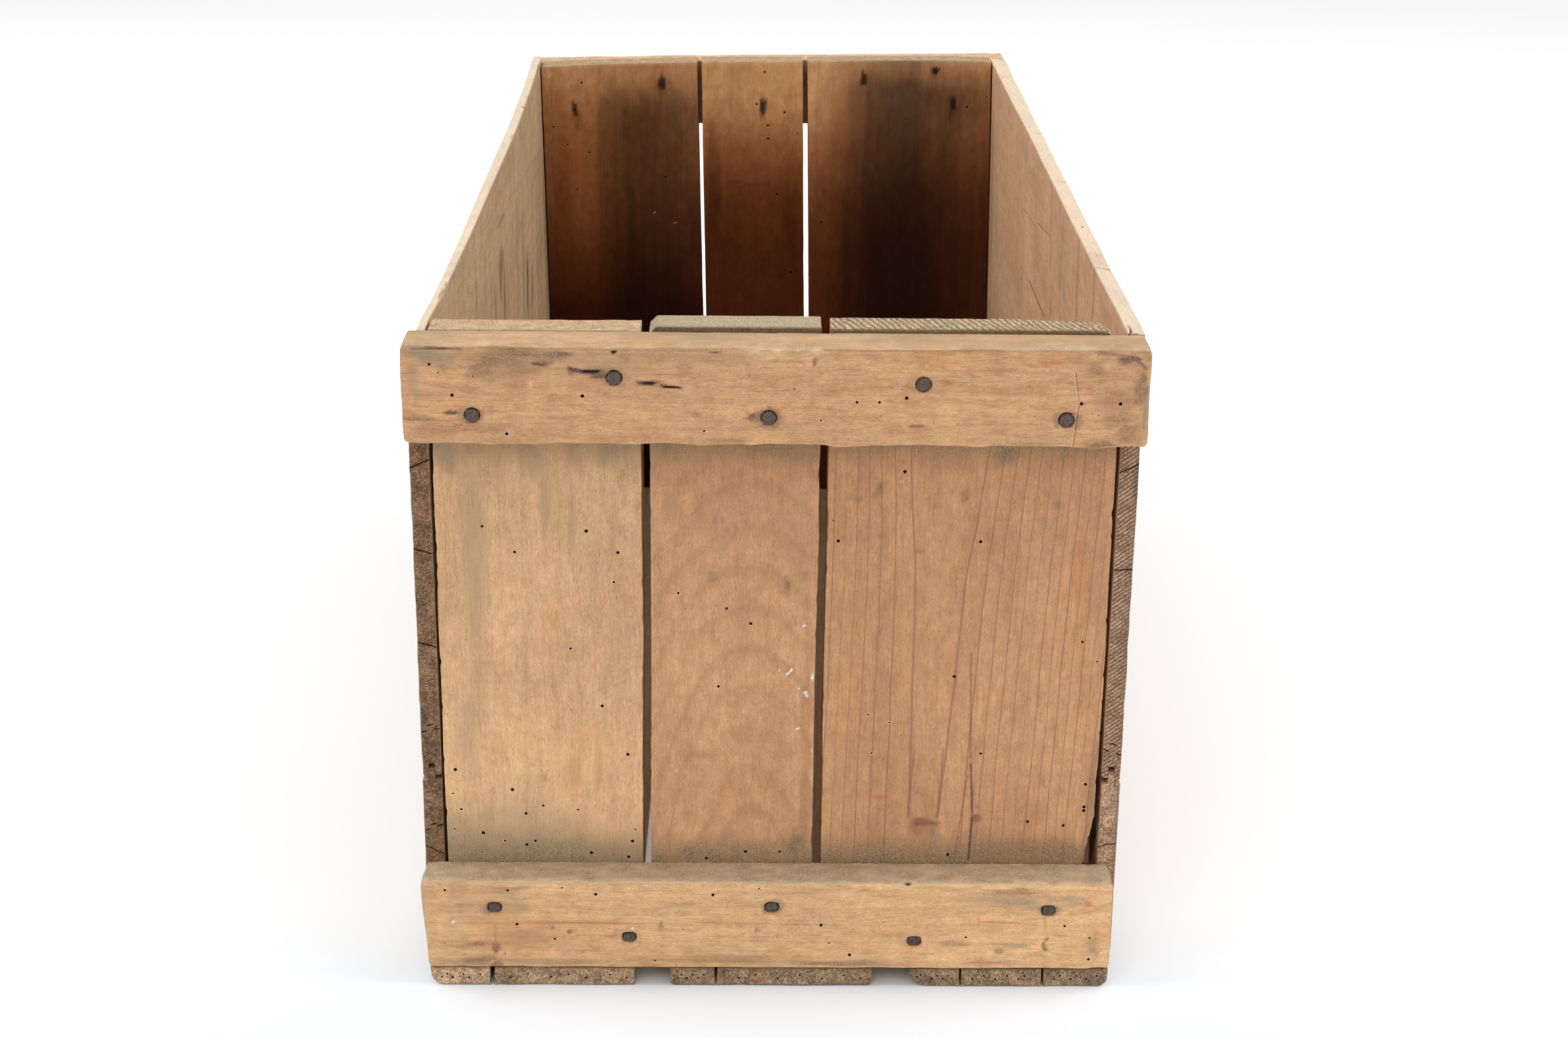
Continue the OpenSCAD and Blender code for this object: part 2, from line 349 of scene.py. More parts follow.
class Graph:
    """A material's node tree."""

    def __init__(self, name):
        self.material = bpy.data.materials.new(name)
        self.material.use_nodes = True
        self.tree = self.material.node_tree
        self.tree.nodes.clear()

    def node(self, kind, values=(), output=0, **settings):
        """A node with values or links put in its inputs, by place or by name; gives an output."""
        made = self.tree.nodes.new(kind)
        for key, value in settings.items():
            setattr(made, key, value)
        for key, value in values.items() if isinstance(values, dict) else enumerate(values):
            socket = made.inputs[key]
            if isinstance(value, Value):
                self.tree.links.new(value.socket, socket)
            elif isinstance(value, tuple) and len(value) == 3 and len(socket.default_value) == 4:
                socket.default_value = (*value, 1)
            else:
                socket.default_value = value
        return Value(self, made.outputs[output]) if made.outputs else None

    def math(self, op, *values):
        return self.node("ShaderNodeMath", values, operation=op)

    def vector(self, op, *values):
        return self.node("ShaderNodeVectorMath", values, operation=op)

    def split(self, vector):
        outputs = self.node("ShaderNodeSeparateXYZ", (vector,)).socket.node.outputs
        return [Value(self, o) for o in outputs]

    def join(self, *values):
        return self.node("ShaderNodeCombineXYZ", values)

    def attribute(self, name):
        settings = dict(attribute_type="GEOMETRY", attribute_name=name)
        return self.node("ShaderNodeAttribute", (), "Vector", **settings)

    def place(self):
        """Where the point is on its object, in metres."""
        return self.node("ShaderNodeTexCoord", (), "Object")

    def place_mm(self):
        return self.vector("MULTIPLY", self.place(), (1 / MM,) * 3)

    def noise(self, vector, scales, detail=2.0, rough=0.5, shift=0.0):
        """Noise from 0 to 1, with its features' rate along each axis in 1/mm."""
        at = self.vector("MULTIPLY_ADD", vector, tuple(scales), (shift, shift * 1.7, shift * 0.6))
        values = {"Vector": at, "Scale": 1.0, "Detail": detail, "Roughness": rough}
        return self.node("ShaderNodeTexNoise", values)

    def cells(self, vector, scales):
        at = self.vector("MULTIPLY", vector, tuple(scales))
        return self.node("ShaderNodeTexVoronoi", {"Vector": at, "Scale": 1.0}, "Distance")

    def ramp(self, value, a, b, c=0.0, d=1.0, smooth=True):
        """value from a..b to c..d, clamped."""
        kind = "SMOOTHSTEP" if smooth else "LINEAR"
        return self.node("ShaderNodeMapRange", (value, a, b, c, d), interpolation_type=kind)

    def mix(self, factor, a, b):
        return self.node("ShaderNodeMix", {0: factor, 6: a, 7: b}, 2, data_type="RGBA")

    def bump(self, height, strength=1.0):
        """Bump from a height in mm."""
        return self.node("ShaderNodeBump", {"Strength": strength, "Distance": MM, "Height": height})

    def finish(self, colour, roughness, normal, metallic=0.0, specular=0.3):
        """The material, with one principled shader."""
        names = ("Base Color", "Roughness", "Normal", "Metallic", "Specular IOR Level")
        values = dict(zip(names, (colour, roughness, normal, metallic, specular)))
        self.node("ShaderNodeOutputMaterial", (self.node("ShaderNodeBsdfPrincipled", values),))
        return self.material


def shade(colour, *factors):
    """The colour times one number, or times one number for each channel."""
    factors = factors * 3 if len(factors) == 1 else factors
    return tuple(c * f for c, f in zip(colour, factors))


def times(graph, colour, factor):
    """The colour times a number from a socket."""
    grey = graph.join(factor, factor, factor)
    return graph.vector("MULTIPLY", colour, grey)


# Colours, linear
STAIN_AND_SHADE = (0.060, 0.028, 0.028)
GRIME_AND_SHADE = (0.150, 0.115, 0.065)
GREY = (0.315, 0.240, 0.150)
PALE = (0.740, 0.520, 0.310)
BLEACH = (0.660, 0.540, 0.405)
RED = (0.520, 0.150, 0.075)
DUST = (0.780, 0.760, 0.740)
# Near black: painted shade in holes, cracks and hollows, and some dark marks
SHADE_AND_BLACK = (0.010, 0.006, 0.004)

# Growth rings round an axis along the grain, in mm: the axis is at this place across the grain and
# this far behind the face; drift and dive lean it; the core leaves out the rings inside a radius
RINGS = dict(
    drift=0.0, dive=0.0, bends=(), phase=0.0, width=0.12, tint=None, core=(0.0, 1.0, 0.0, 0.0), ends=0.6
)
WARM = (0.62, 0.27, 0.10)


def wood(
    name, grain, light, dark, end, seed, streak, fleck, rings, warm=WARM, saw=0.0, rough=0.78, relief=1.0,
    checks=0.3, scratches=(), soak_and_shade=None, soil=0.4, kerf=None, stain_and_shade=STAIN_AND_SHADE,
):
    """Weathered wood, with its grain along one axis and its stains from the mesh.

    end is the light and dark colour of the end grain, soil the strength of the smudges, checks that
    of the drying cracks, kerf the direction and strength of saw lines on the ends, and soak how fast
    each channel darkens with the mesh's tone."""
    g = Graph(name)
    x, y, z = g.split(g.place_mm())
    along, across, deep = {X: (x, z, y), Y: (y, x, z), Z: (z, x, y), "wall": (y, z, x)}[grain]
    m_warm, m_grey, m_stain_and_shade = g.split(g.attribute("look0"))
    m_grime_and_shade, m_wear, m_tone = g.split(g.attribute("look1"))
    m_hole, m_end, m_pale = g.split(g.attribute("look2"))
    m_bleach, m_red, m_dust = g.split(g.attribute("look3"))
    at = g.join(along, across, deep)

    # Slow wander of the grain, so that no line is straight
    wander = (g.noise(at, (0.012, 0.02, 0.02), 2, 0.5, seed) - 0.5) * 9.0
    shaken = g.join(along, across + wander, deep)
    broad = g.noise(shaken, (0.004, 0.09, 0.06), 3, 0.6, seed + 3)
    fine = g.noise(shaken, (0.012, 0.75, 0.75), 4, 0.62, seed + 5)
    hair = g.noise(shaken, (0.05, 3.1, 3.1), 2, 0.6, seed + 9)
    dash = g.noise(shaken, (0.21, 2.7, 2.7), 2, 0.55, seed + 13)
    patch = g.noise(at, (0.016, 0.03, 0.03), 3, 0.55, seed + 17)
    mottle = g.noise(at, (0.12, 0.16, 0.16), 4, 0.62, seed + 21)
    speck = g.noise(at, (1.1, 1.1, 1.1), 3, 0.6, seed + 25)

    # Face colour
    fibre = g.noise(shaken, (0.30, 1.9, 1.9), 5, 0.78, seed + 11)
    thread = g.noise(shaken, (0.55, 4.6, 4.6), 2, 0.6, seed + 15)
    dot = g.noise(at, (2.6, 2.6, 2.6), 2, 0.7, seed + 27)
    # The same, centred on 0
    broad0, fine0, hair0, patch0, mottle0, speck0, fibre0, thread0, dot0 = (
        value - 0.5 for value in (broad, fine, hair, patch, mottle, speck, fibre, thread, dot)
    )
    t = 0.5 + (broad0 * 0.9 + fine0 * 0.55) * streak + patch0 * 0.9 + mottle0 * 0.5
    colour = g.mix(g.ramp(t, 0.12, 0.9, smooth=False), dark, light)
    lines = hair0 * 0.42 + fine0 * 0.16 + fibre0 * 0.95 + speck0 * 0.42
    lines = lines + thread0 * 0.55 + dot0 * 0.45
    colour = times(g, colour, 1.0 + lines * (0.55 if soak_and_shade else 1.0))
    hue = g.noise(at, (0.025, 0.07, 0.07), 5, 0.66, seed + 71)
    colour = g.mix(g.ramp(hue, 0.52, 0.78) * 0.8, colour, g.vector("MULTIPLY", colour, (0.99, 0.84, 0.72)))
    colour = g.mix(g.ramp(hue, 0.48, 0.22) * 0.8, colour, g.vector("MULTIPLY", colour, (0.86, 0.89, 0.84)))
    if not soak_and_shade:
        crumb = g.noise(at, (1.0, 1.3, 1.3), 1, 0.5, seed + 73)
        colour = g.mix(g.ramp(crumb, 0.70, 0.76) * 0.55, colour, shade(dark, 0.35, 0.30, 0.28))
        colour = g.mix(g.ramp(crumb, 0.29, 0.24) * 0.45, colour, PALE)
    dashes = g.ramp(dash, 0.62, 0.76) * fleck
    colour = g.mix(dashes * 0.5, colour, shade(dark, 0.42, 0.38, 0.36))
    height = fine0 * 0.06 + hair0 * 0.05 + fibre0 * 0.16 - dashes * 0.08

    # Brown smudges and strokes along the grain
    smear = g.noise(shaken, (0.06, 0.24, 0.24), 6, 0.76, seed + 61)
    smear = g.ramp(smear + speck0 * 0.22 + patch0 * 0.35, 0.46, 0.72) * soil
    colour = g.mix(smear, colour, g.vector("MULTIPLY", colour, (0.66, 0.60, 0.57)))
    stroke = g.ramp(g.noise(shaken, (0.09, 1.1, 1.1), 3, 0.6, seed + 67), 0.60, 0.72)
    stroke = stroke * g.ramp(smear, 0.0, 0.5, 0.35, 1.0)
    colour = g.mix(stroke * 0.3 * soil, colour, shade(dark, 0.45, 0.38, 0.36))

    # Growth rings
    if rings:
        rings = {**RINGS, **rings}
        middle = along * rings["drift"] + rings["at"]
        d = rings["depth"] + along * rings["dive"]
        for start, way, rate in rings["bends"]:
            d = d + ((along - start) * way).least(0.0) * rate
        d = d + (deep - rings["face"])
        wave = (g.noise(at, (0.02, 0.05, 0.05), 2, 0.5, seed + 31) - 0.5) * rings["wave"]
        away = across - middle + wave
        radius = g.math("SQRT", away * away + d * d)
        phase = radius / rings["gap"] + rings["phase"]
        ring = g.math("FRACT", phase)
        number = {"W": g.math("FLOOR", phase)}
        chance = g.node("ShaderNodeTexWhiteNoise", number, "Value", noise_dimensions="1D")
        weight = g.ramp(chance, 0, 1, 0.35, 1.0, False)
        width = rings["width"]
        line = g.ramp(ring, 1 - width, 1 - width * 0.3) * g.ramp(ring, 1 - width * 0.25, 1.0, 1.0, 0.0)
        late = ring * ring * ring
        core = g.ramp(along, *rings["core"])
        line = line * weight * (0.35 + mottle * 1.3) * g.ramp(radius - core, -0.5, 0.5)
        colour = g.mix(late * rings["soft"], colour, shade(dark, 0.62))
        colour = g.mix(line * rings["line"], colour, rings["tint"] or shade(dark, 0.36, 0.27, 0.3))
        height = height + late * 0.06 - line * 0.10

    # Marks of the saw across the grain
    if saw:
        cut = g.noise(at, (0.45, 0.012, 0.012), 5, 0.7, seed + 37)
        broad_cut = g.noise(at, (0.11, 0.006, 0.006), 2, 0.6, seed + 41)
        colour = times(g, colour, 1.0 + ((cut - 0.5) * 0.6 + (broad_cut - 0.5) * 0.8) * saw)
        height = height + (cut - 0.5) * 0.16 * saw

    # Fine drying cracks along the grain
    crack = g.noise(shaken, (0.010, 0.22, 0.22), 2, 0.5, seed + 43)
    crack = g.ramp(g.math("ABSOLUTE", crack - 0.5), 0.0, 0.008, 1.0, 0.0)
    crack = crack * g.ramp(g.noise(at, (0.02, 0.05, 0.05), 2, 0.5, seed + 47), 0.55, 0.68) * checks
    colour = g.mix(crack * 0.8, colour, shade(dark, 0.2, 0.16, 0.14))
    height = height - crack * 0.3

    # End grain
    rough_end = g.noise(at, (0.8, 0.8, 0.8), 5, 0.8, seed + 51)
    pore = g.ramp(g.noise(at, (1.7, 1.7, 1.7), 3, 0.75, seed + 53), 0.40, 0.50)
    chaff = g.ramp(g.noise(at, (2.1, 2.1, 2.1), 2, 0.7, seed + 55), 0.60, 0.70)
    end_colour = g.mix(g.ramp(rough_end + mottle0 * 0.5, 0.32, 0.70), end[1], end[0])
    end_colour = times(g, end_colour, 0.66 + pore * 0.62 + speck0 * 0.8)
    end_colour = g.mix(chaff * 0.45, end_colour, shade(end[0], 1.45))
    if rings:
        end_colour = g.mix((late * 0.45 + line * 0.4) * rings["ends"], end_colour, end[1])
    if kerf:
        phase = x * kerf[0] + y * kerf[1] + z * kerf[2] + patch0 * 9.0 + mottle0 * 1.6
        tooth = g.ramp(g.math("SINE", phase), -0.3, 0.6) * (0.45 + mottle * 1.1) * m_end
        end_colour = g.mix(tooth * kerf[3], end_colour, shade(end[1], 0.5))
        height = height - tooth * 0.5 * kerf[3]
    colour = g.mix(m_end, colour, end_colour)
    height = height + m_end * ((rough_end - 0.5) * 0.9 + pore * 0.3)

    # Weathering, warmth, stains, dirt, wear
    grit = speck0 * 1.2 + fibre0 * 1.2 + mottle0 * 0.9 + thread0 * 0.6
    warm_mask = g.ramp(m_warm * (1.0 + grit * 0.8), 0.05, 1.0)
    warmed = times(g, g.mix(fine, shade(warm, 0.75), warm), 0.7 + mottle * 0.3 + fibre * 0.3)
    colour = g.mix(warm_mask * 0.75, colour, warmed)
    grey_mask = g.ramp(m_grey * (0.55 + fine * 0.9 + grit), 0.05, 1.0)
    grey = times(g, g.mix(fine, shade(GREY, 0.72), shade(GREY, 1.18)), 0.62 + hair * 0.35 + fibre * 0.4)
    colour = g.mix(grey_mask * 0.85, colour, grey)
    bleach_mask = g.ramp(m_bleach * (1.0 + grit * 0.5), 0.05, 1.0)
    bleached = g.mix(patch, shade(BLEACH, 0.8), shade(BLEACH, 1.15))
    colour = g.mix(bleach_mask * 0.9, colour, times(g, bleached, 0.55 + hair * 0.4 + fibre * 0.5))
    # Stains, and the painted shade that the stain field also carries
    streaky = broad0 * 0.5 + fine0 * 0.3 + patch0 * 0.5 if soak_and_shade else grit * 1.3
    stain_and_shade_mask = g.ramp(m_stain_and_shade * (0.95 + streaky), 0.05, 1.0)
    colour = g.mix(stain_and_shade_mask * 0.85, colour, stain_and_shade)
    red_mask = g.ramp(m_red * (1.0 + grit), 0.1, 0.9)
    colour = g.mix(red_mask * 0.7, colour, RED)
    wear_mask = g.ramp(m_wear * (0.9 + grit * 1.5), 0.15, 0.95)
    worn = g.mix(mottle, shade(PALE, 0.8), PALE)
    colour = g.mix(wear_mask * 0.8, colour, times(g, worn, 0.7 + hair * 0.3 + fibre * 0.3))
    # Grime, and the painted shadow line that the grime field also carries
    grime_and_shade_mask = g.ramp(m_grime_and_shade * (0.9 + grit * 1.6), 0.12, 0.95)
    dirt = g.mix(g.ramp(speck * 0.5 + dot * 0.5, 0.40, 0.60), shade(GRIME_AND_SHADE, 0.55), shade(GRIME_AND_SHADE, 2.6))
    dirt = times(g, g.mix(g.ramp(dot, 0.62, 0.72), dirt, shade(BLEACH, 1.0)), 0.6 + fibre * 0.8)
    colour = g.mix(grime_and_shade_mask * 0.85, colour, dirt)
    colour = g.mix(g.ramp(m_pale, 0.05, 0.9), colour, PALE)
    colour = g.mix(g.ramp(m_dust * (0.6 + speck), 0.35, 0.75), colour, DUST)
    if kerf:
        colour = times(g, colour, 1.0 - tooth * 0.5 * kerf[3])
    for a, b, wide, strength, tone in scratches:
        colour, height = scratch(g, (along, across), a, b, wide, strength, tone, colour, height, speck)
    # Darkening by the mesh's tone, which carries colour changes and painted shade
    if soak_and_shade:
        deep_tone = (m_tone * (0.75 + mottle * 0.5)).most(1.0)
        colour = g.vector("MULTIPLY", colour, g.join(*(g.math("POWER", deep_tone, k) for k in soak_and_shade)))
    else:
        colour = times(g, colour, m_tone * (0.88 + mottle * 0.24))
    # Near black over holes, cracks, hollows and dark marks: mostly painted shade
    colour = g.mix(g.ramp(m_hole, 0.1, 0.85), colour, SHADE_AND_BLACK)
    height = height + grime_and_shade_mask * speck0 * 0.45 + speck0 * 0.05
    roughness = g.ramp(fine + mottle * 0.5 - stain_and_shade_mask * 0.3, 0.3, 1.3, rough - 0.12, rough + 0.16, False)
    return g.finish(colour, roughness, g.bump(height, 0.85 * relief), 0.0, 0.12 if soak_and_shade else 0.3)


def scratch(g, place, a, b, wide, strength, tone, colour, height, speck):
    """A thin straight mark from a to b, in mm along and across the grain."""
    length = math.hypot(b[0] - a[0], b[1] - a[1])
    ux, uy = (b[0] - a[0]) / length, (b[1] - a[1]) / length
    dx, dy = place[0] - a[0], place[1] - a[1]
    t = dx * ux + dy * uy
    off = g.math("ABSOLUTE", dx * uy - dy * ux + (speck - 0.5) * 1.2)
    mask = g.ramp(off, wide, wide * 0.3, smooth=False) * g.ramp(t, -0.5, 2.0)
    mask = mask * g.ramp(t, length - 3.0, length + 0.5, 1.0, 0.0) * (0.45 + speck * 1.1)
    return g.mix(mask * strength, colour, tone), height - mask * 0.12 * strength


def iron(name, rust, dark, grain):
    """Old nail iron: pitted, rusty and almost matt."""
    g = Graph(name)
    mm = g.place_mm()
    pit = g.noise(mm, (grain,) * 3, 5, 0.72)
    scale = g.noise(mm, (0.5,) * 3, 3, 0.6, 4.0)
    fleck = g.cells(mm, (1.9,) * 3)
    colour = g.mix(g.ramp(pit, 0.35, 0.68), dark, rust)
    colour = g.mix(g.ramp(scale, 0.5, 0.75, 0.0, 0.6), colour, (0.105, 0.062, 0.036))
    colour = times(g, colour, g.ramp(fleck, 0.0, 0.5, 0.55, 1.1))
    height = (pit - 0.5) * 0.6 + (scale - 0.5) * 0.4
    return g.finish(colour, g.ramp(pit, 0.3, 0.7, 0.82, 0.5), g.bump(height), 0.35, 0.4)


# ---------------------------------------------------------------- what all boards share


def finish_edges(b, seed, radius, vary=0.7, *, wear, wear_reach):
    """Worn edges whose radius varies along them, and pale wood where they rub."""
    r = radius * (1 + vary * noise(b.rest, (11, 11, 11), seed, 3))
    r += 1.6 * radius * smooth(0.45, 0.8, noise(b.rest, (17, 17, 17), seed + 1, 2))
    b.round(r)
    rub = 0.62 + 0.75 * noise(b.rest, (9, 9, 9), seed + 2, 3)
    b.f["wear"] = wear * np.clip(rub, 0, 1) * np.exp(-((b.edge / wear_reach) ** 2))


def weather(b, seed, ripple=0.12):
    """Shallow hollows along the grain, as soft wood wears away."""
    size = [5.0] * 3
    size[b.grain] = 90.0
    b.dent(ripple * noise01(b.rest, size, seed, 2))


def wavy(b, axis, side, amount, size, seed, reach=14):
    """A wavy side: it comes inwards by up to amount mm."""
    lengths = [1e4] * 3
    lengths[b.grain] = size
    for a in range(3):
        if a not in (axis, b.grain):
            lengths[a] = 40
    b.pull(axis, side, amount * noise01(b.rest, lengths, seed, 3), reach)


def recess(b, axis, side, nails, head):
    """Sunk nail heads on one side of a board; head is half width, half height, squareness."""
    u, v = [a for a in range(3) if a != axis]
    wide, tall, power = head
    on_side = b.depth(axis, side) < 0.5
    for k, (a, c) in enumerate(nails):
        du, dv = b.rest[:, u] - a, b.rest[:, v] - c
        d = (np.abs(du / wide) ** power + np.abs(dv / tall) ** power) ** (1 / power)
        d = (d - 1) * (wide + tall) / 2
        hollow = 0.95 * smooth(0.75, 0.2, d)
        hollow += 0.3 * smooth(4.5, 0.2, d + 0.8 * noise(b.rest, 4.0, 50 + k, 2))
        b.p[:, axis] -= np.where(on_side, side * hollow, 0)
        # Painted shade in the crevice round the head
        b.lift("hole", np.where(on_side, 0.8 * smooth(0.6, 0.2, d), 0))
        across = dv if u == b.grain else du
        lengthwise = (du if u == b.grain else dv) + 1.3 * math.cos(k * 2.1)
        e = np.hypot(lengthwise / 1.45, across) - tall
        halo = smooth(2.9, 0.2, e + 1.5 * noise(b.rest, 2.4, 60 + k, 3))
        # A dark crescent beside the head, with no dent under it: painted shade of a hammer mark
        if power == 2.0 and u == b.grain and k != 1:
            arc = smooth(0.7, 0.2, abs(np.hypot(du + 2.2, dv) - 3.7)) * (du < -3.4)
            halo = np.maximum(halo, 0.9 * arc)
        b.lift("stain_and_shade", np.where(on_side, 0.6 * (0.75 + 0.25 * math.sin(k * 3.7)) * halo, 0))
        b.f["wear"] *= np.where(on_side, 1 - halo, 1)


def nail_ticks(centres, radius):
    """Grid lines close together round nail heads."""
    steps = (0, radius * 0.5, radius, radius + 0.3, radius + 0.75, radius + 1.6)
    return [c + s * k for c in centres for k in steps for s in (-1, 1)]


# ---------------------------------------------------------------- sizes from the CAD part

NAIL_PITCH = 63.0
WIRE_R = 3.1
CUT_R = 3.0
WIRE_HEAD, CUT_HEAD = (3.1, 3.05, 2.0), (2.85, 2.2, 3.0)
NUDGE = {
    "front_upper_batten": ((0.0, 0.0), (-2.8, 0.0), (-0.5, -0.3), (1.7, -2.2), (-0.3, -0.5)),
    "front_lower_batten": ((-0.9, 0.3), (-2.8, 2.3), (-0.8, 0.9), (1.6, 0.6), (-0.5, -0.3)),
}
UPPER_SHIFT, LOWER_SHIFT = -2.5, 1.0
LOW_NAIL, HIGH_NAIL = 13.5, 30.5
END_T = 19.0
NAIL_STEPS = (-30.0, 0.0, 30.0)


def batten_nails(node, shift, low_first):
    """Places (x, z) of a batten's five nails."""
    lo, _ = limits(node)
    heights = (LOW_NAIL, HIGH_NAIL) if low_first else (HIGH_NAIL, LOW_NAIL)
    nudge = NUDGE.get(node, ((0.0, 0.0),) * 5)
    return [
        ((i - 2) * NAIL_PITCH + shift + dx, lo[Z] + heights[i % 2] + dz) for i, (dx, dz) in enumerate(nudge)
    ]


def dapple(b, marks, shift, ragged):
    """Soft patches on a front board: x, z, half width, half height and strength, by field."""
    for field, rows in marks.items():
        for x, z, w, h, v in rows:
            b.patch(field, (x, None, z), (w, 1, h), v, int(z) + shift, ragged)


# ---------------------------------------------------------------- front end boards

REAR_Y = limits("rear_end_board_left")[0][Y]


def under_batten(b, seed):
    """Dirt and painted shade on a front board, just under the upper batten and above the lower one."""
    top, bottom = limits("front_upper_batten")[0][Z], limits("front_lower_batten")[1][Z]
    z = b.rest[:, Z] + 5 * noise(b.rest, (9, 30, 12), seed, 3)
    face = b.depth(Y, LOW) < 1
    b.lift("grime_and_shade", face * 0.78 * smooth(top - 25, top, z))
    b.lift("grime_and_shade", face * 0.82 * smooth(bottom + 24, bottom + 1, z))
    # Dark lines where the board meets the battens: painted shade
    b.lift("stain_and_shade", face * 0.45 * smooth(top - 8, top, z))
    b.lift("stain_and_shade", face * 0.45 * smooth(bottom + 4, bottom - 1, z))


def board_top(b, seed, strip):
    """The sawn top of an end board, with a dark rough strip along the batten, and a painted shadow line on
    the face just above the batten.
    """
    top = b.f["end"] * (b.depth(Z, HIGH) < 30)
    front = b.depth(Y, LOW) + 0.5 * noise(b.rest, (7, 50, 50), seed, 3)
    b.lift("grime_and_shade", top * strip * smooth(3.0, 1.6, front))
    b.lift("hole", top * 0.35 * strip * smooth(1.5, 0.3, front))
    # A painted shadow line on the face just above the batten's top
    band = smooth(1.6, 0.8, b.depth(Y, LOW)) * smooth(4.5, 3.0, b.depth(Z, HIGH)) * (1 - b.f["end"])
    b.f["wear"] *= 1 - band
    b.lift("grime_and_shade", 0.75 * strip * band)
    b.f["tone"] *= 1 - 0.45 * strip * band
    return top


def ragged(b, seed):
    """Small splinters missing along both long edges of a front board."""
    for side in (LOW, HIGH):
        near = smooth(5.0, 0.5, b.depth(Y, LOW))
        bite = smooth(0.1, 0.7, noise(b.rest, (99, 99, 4.5), seed + side, 2))
        b.pull(X, side, 0.55 * near * bite, 3)


def front_left():
    """Pale and greyed, with many wormholes."""
    name = "front_end_board_left"
    lo, hi = limits(name)
    b = Board(lo, hi, Z, (2.0, 2.6, 2.0))
    finish_edges(b, 11, 0.6, wear=0.55, wear_reach=1.3)
    wavy(b, X, HIGH, 0.9, 26, 12)
    wavy(b, X, LOW, 0.6, 34, 13)
    ragged(b, 19)
    weather(b, 14)
    top = board_top(b, 15, 0.5)
    b.lift("wear", top * 0.6)
    b.p[:, Z] -= top * 0.5 * smooth(0.2, 0.8, noise(b.rest, (6, 3, 99), 16, 2))
    b.pull(Z, HIGH, 0.6 * noise01(b.rest, (16, 1e4, 1e4), 17, 2) * smooth(12, 18, b.depth(Y, LOW)), 6)
    under_batten(b, 18)
    p = b.rest
    greys = (
        (-132, 195, 9, 80, 0.5), (-73, 252, 8, 14, 0.6), (-88, 252, 7, 14, 0.5),
        (-104, 248, 10, 12, 0.55), (-121, 250, 8, 14, 0.35), (-142, 250, 7, 10, 0.75),
        (-132, 226, 5, 26, 0.55), (-100, 229, 6, 28, 0.5), (-88, 220, 3, 30, 0.4),
        (-137, 118, 8, 30, 0.45), (-120, 90, 24, 10, 0.25), (-104, 97, 5, 4, 0.4),
    )
    dapple(b, {"grey": greys}, 0, 0.5)
    streaks = (
        (-89, 101, 5, 16, 0.55), (-79, 104, 4, 20, 0.5), (-84, 122, 9, 12, 0.3), (-71, 112, 5, 12, 0.25)
    )
    for x, z, w, h, v in streaks:
        b.patch("warm", (x, None, z), (w, 1, h), v, int(z) + 3, 0.6)
        b.patch("stain_and_shade", (x, None, z), (w, 1, h), v * 0.5, int(z) + 4, 0.6)
    b.patch("stain_and_shade", (-103, None, 96), (3, 1, 3), 0.5, 5, 0.35)
    # The last term makes the board lighter below z 100 than higher up: painted shade under the upper batten
    b.f["tone"] *= 1 + 0.05 * blob(p, (-112, None, 170), (22, 1, 90), 6) + 0.14 * smooth(150, 100, p[:, Z])
    face_side = smooth(2, 0.5, b.depth(Y, LOW))
    dirt = smooth(104, 60, p[:, Z] + 7 * noise(p, (16, 99, 9), 19, 3) + 10 * smooth(-120, -70, p[:, X]))
    b.lift("grey", face_side * 0.68 * dirt)
    b.lift("grime_and_shade", face_side * 0.55 * dirt)
    b.pull(X, HIGH, 0.9 * smooth(170, 70, p[:, Z]), 30)
    holes = (
        (-127, 218, 0.5, 0), (-115, 207, 0.55, 0), (-83, 216, 0.75, 0), (-69, 206, 0.6, 0),
        (-71, 192, 0.5, 0.9), (-91, 161, 0.5, 0.9), (-76, 133, 0.6, 0), (-65, 108, 0.65, 0),
        (-143, 100, 0.7, 0), (-146, 89, 0.6, 0), (-118, 91, 0.7, 0), (-105, 82, 0.5, 0.4),
        (-113, 78, 0.6, 0), (-142, 81, 0.5, 0.7), (-89, 80, 0.4, 0), (-131, 68, 0.8, 0),
        (-146, 70, 0.5, 0.6), (-123, 65, 0.5, 0.7), (-109, 64, 0.5, 0), (-112, 62, 0.6, 0),
        (-60, 71, 0.65, 0), (-62, 65, 0.75, 0), (-83, 58, 0.7, 0), (-65, 57, 0.6, 0),
    )
    b.bore(Y, LOW, holes)
    look = wood(
        "wood_front_left", Z, (0.745, 0.455, 0.240), (0.52, 0.300, 0.152), seed=1.0, streak=0.6, fleck=0.6,
        rings=dict(
            at=-100.0, drift=0.03, depth=26.0, dive=-0.02, face=lo[Y], gap=7.0, line=0.05, soft=0.06,
            wave=6.0
        ),
        soil=0.45, end=((0.64, 0.47, 0.29), (0.36, 0.24, 0.13))
    )
    build(name, [b], look)


